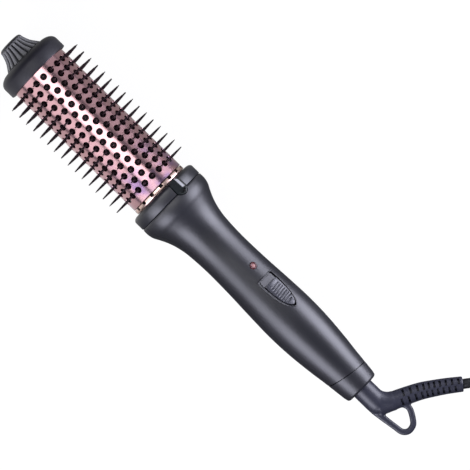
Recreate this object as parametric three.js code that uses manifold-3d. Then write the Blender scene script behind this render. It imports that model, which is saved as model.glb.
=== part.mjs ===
// Heated styling brush with its mains cord. Sizes are in millimetres.
// The brush is drawn along +X, from the nose to the cord, with its switch towards +Z.
// It is then rolled about its own axis and stood on its bristles, over the floor at z = 0.

import * as THREE from "three";
import { mergeVertices } from "three/addons/utils/BufferGeometryUtils.js";
import Module from "manifold-3d";

const wasm = await Module();
wasm.setup();

// Clearances
const fit = 0.3;              // gap left at every seat
const seam = 0.3;             // hairline between the two handle shells
const bodySides = 20;         // facets round the large turned pieces

// Nose and front cap
const noseLength = 12.3;
const noseTipRadius = 8.1;
const noseTipEdge = 0.8;      // rounding of the end face's rim
const noseSwell = 1.9;        // what the radius gains up to the swell
const noseSwellPlace = 0.6;   // share of the nose's length
const noseBaseRadius = 13.4;
const noseRibs = 20;
const noseRibDepth = 0.45;
const nosePlugLength = 4.9;
const nosePlugRadius = 11.1;
const nosePlugWall = 1.5;
const capLength = 12;
const capRadius = 21.5;
const capShoulder = 5.4;      // length of the rounded front shoulder
const capLip = 0.4;           // flat lip round the nose
const capWeb = 3.8;           // thickness behind the nose's recess

// Barrel, its holes and its bristles
const barrelRadius = 19;
const barrelWall = 1.2;
const barrelLength = 100.3;
const barrelSeat = 3;         // how far the barrel goes into the cap
const columns = 20;           // holes round one row
const rows = 16;
const firstRow = 7.8;         // from the barrel's front end
const lastRow = 6.85;         // from the barrel's rear end; the rows are spread evenly between
const holeReach = 2.45;       // from a hole's middle to its corners
const bristleTip = 27.5;      // bristle ends, from the axis
const bristleRoot = 1.1;      // half thickness at the root; a bristle tapers to its tip
const bristleTrim = 0.5;      // trimmed off the lowest bristles, where the brush stands
const stripWall = 2.2;        // moulded strip that carries the bristles
const stripGap = 3.4;         // from the barrel's inside to the strip
const stripCount = 4;
const stripEdge = 0.06;       // share of half a column left open along each strip's edge
const coreSetback = 3.3;      // from the barrel's rear end to the strips and heater blocks

// Heater, inside the strips
const plateWidth = 22;
const plateThickness = 2;
const plateStart = 12;        // from the heater blocks' front end
const plateSetback = 15;      // from the plate's rear end to the heater blocks'
const sheetThickness = 0.5;
const fuseRadius = 1.8;
const fuseLength = 10;
const sensorRadius = 1.3;
const sensorLength = 6;
const capScrewOffset = 6.5;
const capScrewRadius = 1.5;
const capScrewHead = 2.6;
const capScrewHeadHeight = 2.5;
const capScrewLength = 16;    // of thread in the heater block

// End ring, collar and the socket behind the barrel
const endRingLength = 2.6;
const endRingWidth = 3.5;     // from its bore to its outside, level with the barrel's
const endRingSlots = 16;
const endRingSlotWidth = 2.4;
const endRingSlotDepth = 1.5;
const endRingSlotTurn = 2.5;  // degrees round from the switch to the first slot
const collarLength = 8;
const collarRadius = 23.6;
const collarFrontRadius = 20.2;
const collarShoulder = 2.4;
const collarWall = 2.2;
const flangeThickness = 2.2;
const mountTail = 6;
const mountWall = 4;
const mountBore = 8;

// Handle
const handleLength = 144;
const shellWall = 2.2;
const flare = [                // [from the handle's front, radius]
  [0, collarRadius], [4.1, collarRadius], [7.6, 22.8], [11.3, 20.9], [16.6, 18.5], [22.3, 16.8],
  [29.6, 15.6], [43.6, 14.9],
];
const grip = [                 // [ahead of the handle's rear, radius]
  [82.4, 15.2], [65.4, 16], [47.4, 16.6], [31.4, 16.1], [15.4, 14.6], [5.4, 13.3], [-12.8, 11.3],
];
const spigotLength = 3;       // of the handle's front spigot, inside the collar
const spigotStep = 1;         // how far its shoulder stands out behind the collar
const spigotStepLength = 2;
const ribLength = 2;          // inner rib that holds the swivel housing
const ribSetback = 4;         // from the housing's front to the rib
const seamSlope = 0.2;        // the tail seam is cut on a slant
const seamTurn = 38;          // degrees round from the switch to its rearmost point

// Ion outlet
const outletLength = 12;
const outletFront = 4.9;      // half width at its open front
const outletRear = 3.2;       // radius of its round rear end
const outletWall = 0.9;
const outletFloor = 21.5;     // height of its underside over the axis
const outletFloorThickness = 0.8;
const outletProud = 0.25;
const needleRadius = 0.5;
const needleSetback = 0.9;    // from the handle's front to the needle
const needleProud = 1.4;      // over the outlet's underside
const needleDrop = 4.5;       // straight length below the outlet
const ionLength = 20;
const ionWidth = 12;
const ionHeight = 4.6;
const ionSetback = 2;         // from the board's front edge

// Switch and indicator
const lightFromFront = 60.6;
const lensRadius = 2.1;
const lensFlange = 3;
const lensSeat = 0.6;         // from the shell's inside down to the flange
const lensProud = 0.2;
const lensEdge = 0.5;         // rounding of its top
const lensLength = 4.6;
const lightRadius = 1.8;
const lightHeight = 3.6;
const lightTip = 0.8;         // length of its rounded top
const switchFromFront = 69.8;
const recessLength = 24.6;
const recessHalfWidth = 5.6;
const recessDepth = 1.9;
const recessFloor = 1.2;
const sliderLength = 17.5;
const switchTravel = 3.6;
const sliderGap = 0.8;        // from the slider's edge to the recess's side
const sliderRearGap = 2.4;    // from its rear end to the recess's, where it is stored
const sliderProud = 0.35;
const sliderGrooveFrom = 2.6; // from its front end to the first groove
const sliderGrooves = 7;
const sliderGroovePitch = 1.7;
const sliderGrooveWidth = 0.7;
const sliderGrooveDepth = 0.5;
const stemLength = 4;
const stemWidth = 2.4;
const stemShift = 2.6;        // from the slider's middle forwards to the stem's
const stemReach = 4;          // below the recess floor's top
const switchBodyLength = 16;
const switchBodyWidth = 8;

// Control board
const boardStart = 16.6;      // from the handle's front
const boardSetback = 33.4;    // from its rear edge to the handle's rear
const boardWidth = 20;
const boardThickness = 1.6;
const boardTop = 6;           // over the axis
const boardScrewStart = 46.6; // from the handle's front to the front screw
const boardScrewInset = 7;    // from the rear screw to the board's rear edge
const boardScrewRadius = 1.2;
const boardScrewHeadHeight = 1.6;
const boardScrewReach = 4;    // above the board
const postRadius = 2.6;
const capacitorRadius = 3.9;
const capacitorLength = 14;
const capacitorSetback = 8;   // from the board's front edge
const triacSize = [10, 9, 4];
const triacSetback = 6;       // from the front board screw

// Handle screws, from the underside
const handleScrewStart = 10.6;   // from the handle's front to the front screw
const handleScrewSetback = 23.4; // from the rear screw to the handle's rear
const handleScrewRadius = 1.5;
const handleScrewHead = 2.8;
const handleScrewHeadHeight = 2.5;
const handleScrewSink = 6.8;  // from the handle's surface to the head's seat
const handleScrewReach = 8;   // above the axis
const bossRadius = 3.6;
const leadRadius = 0.9;       // of the wires inside
const leadDrop = 0.8;         // from the board's top to a wire's middle

// Tail cap and cord swivel
const tailLength = 12.8;
const tailWall = 2.2;
const tailEndWall = 2.6;
const tailCorner = 1.8;
const housingWall = 1.2;
const housingLength = 21.6;
const housingFrontWall = 2.5;
const tailInnerStep = 0.9;    // the tail cap is thinner than its end by this
const tailLap = 6;            // how far the cap may reach under its slanted seam
const spindleShaft = 4.5;
const spindleFlange = 3.4;    // thickness of the flange behind the housing
const spindleStub = 4;
const spindleStubLength = 12;
const spindleSetback = 2.5;   // from the housing's inner face to the shaft
const contactRing = 2;        // how far a ring stands off the shaft
const contactRingWidth = 3;
const contactRings = [3.9, 10.9]; // from the spindle's front end
const springThickness = 0.5;
const springWidth = 3;

// Cord boot: neck, elbow, slotted relief and hanging loop, all in the floor's plane
const neckRadius = 6.9;
const neckLength = 14;
const neckTaper = [[-3, 0], [1.5, -1], [4.5, -3.4]]; // [past the neck's end, change of radius]
const neckTip = 5.5;
const reliefPath = [           // all three outlines below are [behind the tail, across]
  [14, -0.6], [16.1, 3.2], [20.5, 12.9], [25.3, 22.3], [29.7, 29], [34.6, 35.8], [40.4, 43.1],
];
const reliefRootRadius = 6.1;
const reliefEndRadius = 4.6;
const reliefSlots = 8;
const reliefSlotsStart = 16;  // along the relief to the first slot
const reliefSlotsSetback = 3.7; // from the last slot to the relief's end
const reliefSlotWidth = 1.8;
const reliefSlotDepth = 1.3;
const reliefSlotReach = 0.9;  // a slot's length, its shift to one side and the height of its
const reliefSlotShift = 0.48; // middle are shares of the relief's radius
const reliefSlotHeight = 0.94;
const loopThickness = 4.4;
const loopOutline = [
  [12, -6.6], [20, -5.9], [29.7, -4.3], [35.5, -3.4], [38.4, 0.7], [38.7, 3.6], [36.5, 7.5],
  [28.2, 12.4], [22, 10],
];
const loopHole = [[21.2, -1.8], [33.6, -0.7], [35.4, 3.4], [33.8, 6], [27.2, 9.6], [25.3, 8.6]];

// Pose of the brush
const brushRoll = 27;         // degrees that the switch is turned from straight up

// Cord, laid on the floor behind the brush
const cordRadius = 3;
const coilMiddleRadius = 36;
const coilTurnsPerLayer = 3.75;
const coilPitch = 6.6;        // from turn to turn
const coilLayerRise = 6.6;
const coilSteps = 24;         // to each turn
const coilCentre = [431, 8];  // x from the nose, y from the axis
const tieThickness = 1;
const tieWidth = 10;
const leadPoints = [           // [x, y, z] from the boot's end, down to the floor
  [4, 5, 0], [12, 13, -4], [26, 18.5, -13], [46, 18, -21], [66, 15.8, -23.4],
];
const plugEntry = [390, -36];
const plugLength = 32;
const plugWidth = 22;
const plugHeight = 19.6;
const plugCorner = 4;
const plugNeck = 5;           // half width where the cord goes in
const plugStraight = 5;       // straight length of cord at each end of its last stretch
const bladeLength = 16;
const bladeWidth = 6.3;
const bladeThickness = 1.5;
const bladeSpacing = 12.7;
const bladeRoot = 6;          // how far a blade goes into the plug

// Places along the axis, each from the piece in front of it
const capFront = noseLength + fit;
const capRear = capFront + capLength;
const capWebFront = capFront + nosePlugLength;
const barrelFront = capRear - barrelSeat;
const barrelRear = barrelFront + barrelLength;
const webRear = capWebFront + capWeb;
const endRingFront = barrelRear + fit;
const collarFront = endRingFront + endRingLength + fit;
const collarRear = collarFront + collarLength;
const handleFront = collarRear + fit;
const handleRear = handleFront + handleLength;
const tailRear = handleRear + tailLength;
const recessFront = handleFront + switchFromFront;
const boardLength = handleLength - boardStart - boardSetback;
const boardScrews = [boardScrewStart, boardStart + boardLength - boardScrewInset];
const handleScrews = [handleScrewStart, handleLength - handleScrewSetback];
const axisHeight = bristleTip - bristleTrim;

// Radii inside the barrel, from the flats of its faceted wall inwards
const flat = Math.cos(Math.PI / columns);
const stripOuter = (barrelRadius - barrelWall) * flat - stripGap + stripWall;
const stripInner = stripOuter - stripWall;
const blockRadius = stripInner - fit;
const coreFront = webRear + fit;
const coreRear = barrelRear - coreSetback;
const blockSlot = plateThickness / 2 + sheetThickness + 2 * fit;
const mountSpigot = (barrelRadius - barrelWall) * flat - fit;
const endRingBore = barrelRadius - endRingWidth;
const pocketRadius = collarRadius - collarWall;

const degrees = (angle) => angle * Math.PI / 180;

// A material of its own for each piece
function finish(colour, roughness, metalness = 0) {
  return new THREE.MeshStandardMaterial({ color: colour, roughness, metalness });
}
const blackPlastic = () => finish(0x2d2e36, 0.5);
const softBlack = () => finish(0x2a2b38, 0.6);
const roseMetal = () => finish(0xbe969b, 0.3, 0.8);
const peachMetal = () => finish(0xe1beb4, 0.35, 0.7);
const nylon = () => finish(0x19191e, 0.5);
const aluminium = () => finish(0xb8bcc0, 0.4, 0.9);
const steel = () => finish(0x9a9ca0, 0.35, 0.9);
const brass = () => finish(0xc8a24a, 0.35, 0.9);
const ceramic = () => finish(0xe6e2d8, 0.7);
const heatPlastic = () => finish(0x8c7a5c, 0.6);
const board = () => finish(0x2f6b3c, 0.6);
const redPlastic = () => finish(0xc04848, 0.25);

// Closed geometry to a solid, and back
function solid(geometry) {
  const bare = geometry.clone();
  bare.deleteAttribute("normal");
  bare.deleteAttribute("uv");
  const merged = mergeVertices(bare, 1e-4);
  const corners = merged.index.array;
  const kept = [];
  for (let i = 0; i < corners.length; i += 3) {
    const [a, b, c] = [corners[i], corners[i + 1], corners[i + 2]];
    if (a !== b && b !== c && c !== a) kept.push(a, b, c);
  }
  const points = merged.attributes.position;
  const p = [new THREE.Vector3(), new THREE.Vector3(), new THREE.Vector3()];
  let volume = 0;
  for (let i = 0; i < kept.length; i += 3) {
    p.forEach((point, k) => point.fromBufferAttribute(points, kept[i + k]));
    volume += p[0].dot(p[1].clone().cross(p[2]));
  }
  if (volume < 0) kept.reverse();
  const mesh = new wasm.Mesh({
    numProp: 3,
    vertProperties: Float32Array.from(points.array),
    triVerts: Uint32Array.from(kept),
  });
  return new wasm.Manifold(mesh);
}

function geometryOf(manifold) {
  const mesh = manifold.getMesh();
  const geometry = new THREE.BufferGeometry();
  geometry.setAttribute("position", new THREE.BufferAttribute(mesh.vertProperties, 3));
  geometry.setIndex(new THREE.BufferAttribute(mesh.triVerts, 1));
  geometry.computeVertexNormals();
  return geometry;
}

// Turned about X from a list of [x, radius]; an outline off the axis closes on itself
function turned(outline, sides) {
  const points = outline.map(([x, radius]) => new THREE.Vector2(radius, x));
  if (outline[0][1] > 0) points.push(points[0].clone());
  return solid(new THREE.LatheGeometry(points, sides).rotateZ(-Math.PI / 2));
}

// Turned about Z at (x, y) from a list of [z, radius]
function upright(x, y, outline, sides) {
  const points = outline.map(([z, radius]) => new THREE.Vector2(radius, z));
  if (outline[0][1] > 0) points.push(points[0].clone());
  return solid(new THREE.LatheGeometry(points, sides).rotateX(Math.PI / 2).translate(x, y, 0));
}

// A round pin along Z at (x, y), from z0 to z1
function pin(x, y, z0, z1, radius, sides = 8) {
  return upright(x, y, [[z0, 0], [z0, radius], [z1, radius], [z1, 0]], sides);
}

// A plain round solid along the axis, and one with a bore
function plug(x0, x1, radius, sides) {
  return turned([[x0, 0], [x0, radius], [x1, radius], [x1, 0]], sides);
}

function tube(x0, x1, inner, outer, sides) {
  return turned([[x0, inner], [x0, outer], [x1, outer], [x1, inner]], sides);
}

function rod(x0, x1, radius, y, z, sides = 8) {
  return solid(peg(radius, radius, x1 - x0, sides).rotateY(Math.PI / 2).translate(x0, y, z));
}

function box(x0, x1, y0, y1, z0, z1) {
  const geometry = new THREE.BoxGeometry(x1 - x0, y1 - y0, z1 - z0);
  return solid(geometry.translate((x0 + x1) / 2, (y0 + y1) / 2, (z0 + z1) / 2));
}

// A plan outline, list of [x, y], raised from z0 to z1
function raised(outline, z0, z1, hole) {
  const shape = new THREE.Shape(outline.map(([x, y]) => new THREE.Vector2(x, y)));
  if (hole) shape.holes.push(new THREE.Path(hole.map(([x, y]) => new THREE.Vector2(x, y))));
  const geometry = new THREE.ExtrudeGeometry(shape, { depth: z1 - z0, bevelEnabled: false });
  return solid(geometry.translate(0, 0, z0));
}

// A section across the axis, list of [y, z], run from x0 to x1
function bar(section, x0, x1) {
  const shape = new THREE.Shape(section.map(([y, z]) => new THREE.Vector2(y, z)));
  const geometry = new THREE.ExtrudeGeometry(shape, { depth: x1 - x0, bevelEnabled: false });
  const turn = new THREE.Matrix4().makeBasis(
    new THREE.Vector3(0, 1, 0), new THREE.Vector3(0, 0, 1), new THREE.Vector3(1, 0, 0));
  return solid(geometry.applyMatrix4(turn).translate(x0, 0, 0));
}

// A round wire or cord along points [x, y, z]
function wire(points, radius, sides, steps) {
  const path = new THREE.CatmullRomCurve3(points.map((point) => new THREE.Vector3(...point)));
  const shape = new THREE.Shape();
  for (let i = 0; i < sides; i += 1) {
    const angle = 2 * Math.PI * i / sides;
    const [x, y] = [radius * Math.cos(angle), radius * Math.sin(angle)];
    if (i === 0) shape.moveTo(x, y);
    else shape.lineTo(x, y);
  }
  return solid(new THREE.ExtrudeGeometry(shape, { steps, extrudePath: path, bevelEnabled: false }));
}

// Rings of points joined into one closed skin
function loftedSkin(rings) {
  const sides = rings[0].length;
  const corners = [];
  for (let i = 0; i + 1 < rings.length; i += 1) {
    for (let k = 0; k < sides; k += 1) {
      const [a, b] = [i * sides + k, i * sides + (k + 1) % sides];
      corners.push(a, b, b + sides, a, b + sides, a + sides);
    }
  }
  const last = (rings.length - 1) * sides;
  for (let k = 1; k + 1 < sides; k += 1) {
    corners.push(0, k + 1, k);
    corners.push(last, last + k, last + k + 1);
  }
  const geometry = new THREE.BufferGeometry().setFromPoints(rings.flat());
  geometry.setIndex(corners);
  return geometry;
}
const lofted = (rings) => solid(loftedSkin(rings));

// A straight or tapered peg that stands on z = 0
function peg(rootRadius, endRadius, length, sides) {
  const ring = (radius, z) => Array.from({ length: sides }, (_, k) => {
    const angle = 2 * Math.PI * k / sides;
    return new THREE.Vector3(radius * Math.cos(angle), radius * Math.sin(angle), z);
  });
  return loftedSkin([ring(rootRadius, 0), ring(endRadius, length)]);
}

// Turns a solid made over the axis, at z = 0, to stand on a radius at an angle from the switch
function onRadius(geometry, x, radius, angle) {
  return geometry.translate(0, 0, radius).rotateX(-degrees(angle)).translate(x, 0, 0);
}

// Radius of the handle at a place along the axis
const outlinePoints = [
  ...flare.map(([x, radius]) => new THREE.Vector2(handleFront + x, radius)),
  ...grip.map(([x, radius]) => new THREE.Vector2(handleRear - x, radius)),
];
function handleRadius(x) {
  const next = outlinePoints.findIndex((point) => point.x >= x);
  if (next <= 0) return outlinePoints[next === 0 ? 0 : outlinePoints.length - 1].y;
  const [a, b] = [outlinePoints[next - 1], outlinePoints[next]];
  return a.y + (b.y - a.y) * (x - a.x) / (b.x - a.x);
}

// The handle's outside, less an inset, from the collar to the tail's end
function handleBody(inset, sides) {
  const outline = outlinePoints.map((point) => [point.x, point.y - inset]);
  const last = outline.length - 1;
  return turned([[outline[0][0], 0], ...outline, [outline[last][0], 0]], sides);
}

// Everything ahead of the slanted tail seam, moved along the axis by an offset
function aheadOfSeam(offset) {
  const length = 200;
  const block = new THREE.BoxGeometry(length, length, length).translate(-length / 2, 0, 0);
  const shear = new THREE.Matrix4().set(
    1, seamSlope * Math.sin(degrees(seamTurn)), seamSlope * Math.cos(degrees(seamTurn)), 0,
    0, 1, 0, 0, 0, 0, 1, 0, 0, 0, 0, 1);
  return solid(block.applyMatrix4(shear).translate(handleRear + offset, 0, 0));
}

// Plan outline of the switch recess and its slider: flat in front, closing to a round point
function bulletOutline(front, length, halfWidth) {
  const steps = 6;
  const side = [];
  for (let i = 0; i <= steps; i += 1) {
    const share = Math.sin(Math.PI / 2 * i / steps);
    side.push([front + length * share, halfWidth * Math.pow(1 - share ** 2.4, 0.62)]);
  }
  const mirrored = side.slice(0, -1).reverse().map(([x, y]) => [x, -y]);
  return [...side, ...mirrored].reverse();
}

function tipNose() {
  const outline = [
    [0, 0], [0, noseTipRadius - noseTipEdge], [noseTipEdge, noseTipRadius],
    [noseLength * noseSwellPlace, noseTipRadius + noseSwell], [noseLength, noseBaseRadius], [noseLength, 0],
  ];
  const points = outline.map(([x, radius]) => new THREE.Vector2(radius, x));
  const flutes = new THREE.LatheGeometry(points, 2 * noseRibs).rotateZ(-Math.PI / 2);
  const corner = new THREE.Vector3();
  for (let i = 0; i < flutes.attributes.position.count; i += 1) {
    corner.fromBufferAttribute(flutes.attributes.position, i);
    const angle = Math.atan2(corner.y, corner.z);
    const radius = Math.hypot(corner.y, corner.z);
    if (radius < noseTipRadius - 0.1 || corner.x < 0.1) continue;
    const share = 1 - noseRibDepth * (1 - Math.cos(noseRibs * angle)) / radius;
    flutes.attributes.position.setXYZ(i, corner.x, corner.y * share, corner.z * share);
  }
  const plugRear = capWebFront - fit;
  const inner = tube(noseLength - 1, plugRear, nosePlugRadius - nosePlugWall, nosePlugRadius, 20);
  return solid(flutes).add(inner);
}

function frontCap() {
  const start = noseBaseRadius + capLip;
  const recess = nosePlugRadius + fit;
  const socket = barrelRadius + fit;
  const outline = [[capWebFront, 0], [capWebFront, recess], [capFront, recess]];
  for (const angle of [0, 35, 62, 90]) {
    const share = 1 - Math.cos(degrees(angle));
    outline.push([capFront + capShoulder * share, start + (capRadius - start) * Math.sin(degrees(angle))]);
  }
  outline.push([capRear, capRadius], [capRear, socket], [webRear, socket], [webRear, 0]);
  const holes = [-1, 1].map((side) =>
    rod(capWebFront - 1, webRear + 1, capScrewRadius + fit, 0, side * capScrewOffset));
  return turned(outline, bodySides).subtract(holes[0]).subtract(holes[1]);
}

function capScrew(side) {
  const seat = capWebFront - fit;
  const outline = [
    [seat - capScrewHeadHeight, 0], [seat - capScrewHeadHeight, capScrewHead], [seat, capScrewHead],
    [seat, capScrewRadius], [webRear + capScrewLength, capScrewRadius], [webRear + capScrewLength, 0],
  ];
  return turned(outline, 8).translate(0, 0, side * capScrewOffset);
}

// The rows' holes lie half a pitch round from row to row
const rowPitch = (barrelLength - firstRow - lastRow) / (rows - 1);
const holeAngle = (row, column) => 360 * (column + (row % 2 === 0 ? 0.5 : 0)) / columns;
const rowPlace = (row) => barrelFront + firstRow + row * rowPitch;

function barrel() {
  const body = tube(barrelFront, barrelRear, barrelRadius - barrelWall, barrelRadius, columns);
  const depth = 3 * barrelWall;
  const drills = [];
  for (let row = 0; row < rows; row += 1) {
    for (let column = 0; column < columns; column += 1) {
      const drill = peg(holeReach, holeReach, depth, 4);
      const angle = holeAngle(row, column);
      drills.push(solid(onRadius(drill, rowPlace(row), barrelRadius - 2 * barrelWall, angle)));
    }
  }
  return body.subtract(wasm.Manifold.union(drills));
}

// The floor, as the rolled brush sees it
function belowFloor() {
  const size = 200;
  const block = new THREE.BoxGeometry(size, size, size).translate(size / 2, 0, -axisHeight - size / 2);
  return solid(block.rotateX(degrees(brushRoll)));
}

// One moulded strip and its bristles; its edges lie between two columns of holes
function bristleStrip(index) {
  const halfColumn = 180 / columns;
  const start = 360 / stripCount * index + halfColumn / 2;
  const facets = 2 * columns / stripCount;
  const section = [];
  for (let i = 0; i <= facets; i += 1) {
    const place = THREE.MathUtils.clamp(i, stripEdge, facets - stripEdge);
    section.push(degrees(start + halfColumn * place));
  }
  const outer = section.map((angle) => [stripOuter * Math.sin(angle), stripOuter * Math.cos(angle)]);
  const inner = section.map((angle) => [stripInner * Math.sin(angle), stripInner * Math.cos(angle)]);
  const strip = bar([...outer, ...inner.reverse()], coreFront, coreRear);
  const root = stripOuter - stripWall / 2;
  const length = bristleTip - root;
  const bristles = [];
  for (let row = 0; row < rows; row += 1) {
    for (let column = 0; column < columns; column += 1) {
      const angle = holeAngle(row, column);
      const past = (angle - start + 360) % 360;
      if (past >= 360 / stripCount) continue;
      const bristle = peg(bristleRoot, 0, length, 3);
      bristles.push(solid(onRadius(bristle, rowPlace(row), root, angle)));
    }
  }
  return strip.add(wasm.Manifold.union(bristles)).subtract(belowFloor());
}

function heaterBlock(side) {
  const steps = 10;
  const section = [];
  const first = Math.asin(blockSlot / blockRadius);
  for (let i = 0; i <= steps; i += 1) {
    const angle = first + (Math.PI - 2 * first) * i / steps;
    section.push([blockRadius * Math.cos(angle), side * blockRadius * Math.sin(angle)]);
  }
  const boreRear = webRear + capScrewLength + fit;
  const bore = rod(coreFront - 1, boreRear, capScrewRadius + fit, 0, side * capScrewOffset);
  return bar(section, coreFront, coreRear).subtract(bore);
}

const plateFront = coreFront + plateStart;
const plateRear = coreRear - plateSetback;

function heatingPlate() {
  const half = plateThickness / 2;
  return box(plateFront, plateRear, -plateWidth / 2, plateWidth / 2, -half, half);
}

function insulatingSheet(side) {
  const near = side * (plateThickness / 2 + fit);
  const far = near + side * sheetThickness;
  const [bottom, top] = [Math.min(near, far), Math.max(near, far)];
  return box(plateFront, plateRear, -plateWidth / 2, plateWidth / 2, bottom, top);
}

function thermalFuse() {
  return rod(plateRear + fit, plateRear + fit + fuseLength, fuseRadius, plateWidth / 4 + 1, 0, 8);
}

function temperatureSensor() {
  return rod(plateRear + fit, plateRear + fit + sensorLength, sensorRadius, -plateWidth / 4 - 1, 0, 8);
}

// A flanged sleeve: its front end centres the barrel, its flange is held behind the collar
function barrelMount() {
  const neck = endRingBore - fit;
  const flangeFront = collarFront + collarWall + 2 * fit;
  const flangeRear = flangeFront + flangeThickness;
  const outline = [
    [coreRear + fit, mountBore], [coreRear + fit, mountSpigot], [barrelRear, mountSpigot],
    [barrelRear, neck], [flangeFront, neck], [flangeFront, pocketRadius - fit],
    [flangeRear, pocketRadius - fit], [flangeRear, mountBore + mountWall],
    [flangeRear + mountTail, mountBore + mountWall], [flangeRear + mountTail, mountBore],
  ];
  return turned(outline, 16);
}

function barrelEndRing() {
  let ring = tube(endRingFront, endRingFront + endRingLength, endRingBore, barrelRadius, endRingSlots);
  for (let i = 0; i < endRingSlots; i += 1) {
    const notch = new THREE.BoxGeometry(2 * endRingSlotDepth, endRingSlotWidth, 2 * endRingSlotDepth);
    const angle = 360 * i / endRingSlots + endRingSlotTurn;
    ring = ring.subtract(solid(onRadius(notch, endRingFront, barrelRadius, angle)));
  }
  return ring;
}

function collarBody(grow) {
  const outline = [[collarFront, 0], [collarFront, collarFrontRadius + grow]];
  for (const angle of [30, 60, 90]) {
    const share = 1 - Math.cos(degrees(angle));
    const rise = (collarRadius - collarFrontRadius) * Math.sin(degrees(angle));
    outline.push([collarFront + collarShoulder * share, collarFrontRadius + rise + grow]);
  }
  outline.push([collarRear, collarRadius + grow], [collarRear, 0]);
  return turned(outline, bodySides);
}

// Plan outline of the ion outlet, grown by a margin
function outletOutline(grow) {
  const front = collarFront - 1;
  const centre = collarFront + outletLength - outletRear;
  const outline = [[front, outletFront + grow], [front, -outletFront - grow]];
  for (const angle of [-80, -40, 0, 40, 80]) {
    const radius = outletRear + grow;
    outline.push([centre + radius * Math.cos(degrees(angle)), radius * Math.sin(degrees(angle))]);
  }
  return outline.reverse();
}

function collarRing() {
  const pocket = plug(collarFront + collarWall + fit, collarRear + 1, pocketRadius, bodySides);
  const hole = plug(collarFront - 1, collarRear, endRingBore + fit, bodySides);
  return collarBody(0).subtract(pocket).subtract(hole).subtract(outletNotch());
}

// Room for the outlet in the collar and the handle
const outletNotch = () => raised(outletOutline(fit), outletFloor - fit, collarRadius + 2);

function ionOutlet() {
  const behind = handleBody(-outletProud, bodySides).add(collarBody(outletProud));
  const bridge = tube(collarRear - 1, handleFront + 1, 2, collarRadius + outletProud, bodySides);
  const limit = behind.add(bridge);
  const block = raised(outletOutline(0), outletFloor, collarRadius + 2);
  const scoop = raised(outletOutline(-outletWall), outletFloor + outletFloorThickness, collarRadius + 2);
  const open = box(collarFront - 2, collarFront + 1, -outletFront + outletWall, outletFront - outletWall,
    outletFloor + outletFloorThickness, collarRadius + 2);
  return block.intersect(limit).subtract(scoop).subtract(open).subtract(needleHole());
}

// Where the emitter needle comes up through the handle's shoulder and the outlet's floor
function needleHole() {
  return pin(needleX, 0, outletFloor - needleDrop + fit, collarRadius, needleRadius + fit, 6);
}

const needleX = handleFront + needleSetback;
const boardFront = handleFront + boardStart;
const ionFront = boardFront + ionSetback;
const ionMiddle = boardTop + fit + ionHeight / 2;

function emitterNeedle() {
  const side = ionWidth / 2 - 3 * needleRadius;
  const roundBoss = side + 5 * needleRadius;
  return wire([
    [needleX, 0, outletFloor + needleProud], [needleX, 0, outletFloor - needleDrop],
    [needleX + 3, side / 2, outletFloor - needleDrop - 3],
    [handleFront + handleScrews[0], roundBoss, ionMiddle + 2],
    [ionFront - 2.5, side, ionMiddle], [ionFront - fit, side, ionMiddle],
  ], needleRadius, 5, 10);
}

function ionModule() {
  const bottom = boardTop + fit;
  return box(ionFront, ionFront + ionLength, -ionWidth / 2, ionWidth / 2, bottom, bottom + ionHeight);
}

// Both shells in one, before they are parted
function handleShell() {
  const outer = outlinePoints.map((point) => [point.x, point.y]);
  const everySecond = outer.filter((_, i) => i % 2 === 0);
  const inner = everySecond.map(([x, radius]) => [x, radius - shellWall]).reverse();
  const spigotFront = handleFront - spigotLength;
  const stepRear = handleFront + spigotStepLength;
  const spigotRadius = pocketRadius - fit;
  const spigot = turned([
    [spigotFront, spigotRadius - shellWall], [spigotFront, spigotRadius], [handleFront, spigotRadius],
    [handleFront, pocketRadius + spigotStep], [stepRear, pocketRadius + spigotStep],
    [stepRear, spigotRadius - shellWall],
  ], bodySides);
  const ribFront = swivelFront + ribSetback;
  const ribOuter = handleRadius(ribFront) - shellWall / 2;
  const rib = tube(ribFront, ribFront + ribLength, housingRadius + fit, ribOuter, bodySides);
  const shell = turned([...outer, ...inner], bodySides).add(spigot).add(rib);
  return shell.subtract(outletNotch()).subtract(needleHole()).intersect(aheadOfSeam(-fit / 2));
}

const recessRadius = handleRadius(recessFront + recessLength / 2);
const recessFloorTop = recessRadius - recessDepth;
const sliderFront = recessFront + recessLength - sliderRearGap - sliderLength;
const stemFront = sliderFront + sliderLength / 2 - stemShift - stemLength / 2;
const lightX = handleFront + lightFromFront;

// Room for the slider's stem, in the recess floor and the switch body
function stemSlot(bottom) {
  const front = stemFront - switchTravel - 2 * fit;
  const half = stemWidth / 2 + fit;
  return box(front, stemFront + stemLength + 2 * fit, -half, half, bottom, recessFloorTop + 1);
}

const reach = 2 * collarRadius;

function handleUpper() {
  const half = box(0, tailRear + reach, -reach, reach, seam / 2, reach);
  const inside = handleBody(shellWall / 2, bodySides);
  const padHalf = recessHalfWidth + 2;
  const pad = box(recessFront - 3, recessFront + recessLength + 3, -padHalf, padHalf,
    recessFloorTop - recessFloor, recessRadius);
  let shell = handleShell().add(pad.intersect(inside));
  for (const place of boardScrews) {
    const x = handleFront + place;
    const post = pin(x, 0, boardTop + fit, recessRadius, postRadius);
    const bore = pin(x, 0, 0, boardTop + boardScrewReach + 1, boardScrewRadius + fit);
    shell = shell.add(post.intersect(inside)).subtract(bore);
  }
  for (const place of handleScrews) {
    const x = handleFront + place;
    const boss = pin(x, 0, seam / 2, collarRadius, bossRadius);
    const bore = pin(x, 0, 0, handleScrewReach + fit, handleScrewRadius + fit);
    shell = shell.add(boss.intersect(inside)).subtract(bore);
  }
  const bullet = bulletOutline(recessFront, recessLength, recessHalfWidth);
  const recess = raised(bullet, recessFloorTop, collarRadius);
  const lensHole = pin(lightX, 0, boardTop + fit, collarRadius, lensRadius + fit, 12);
  const slot = stemSlot(recessFloorTop - 2 * recessFloor);
  return shell.intersect(half).subtract(recess).subtract(slot).subtract(lensHole);
}

const screwSeat = (place) => handleScrewSink - handleRadius(handleFront + place);

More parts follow.
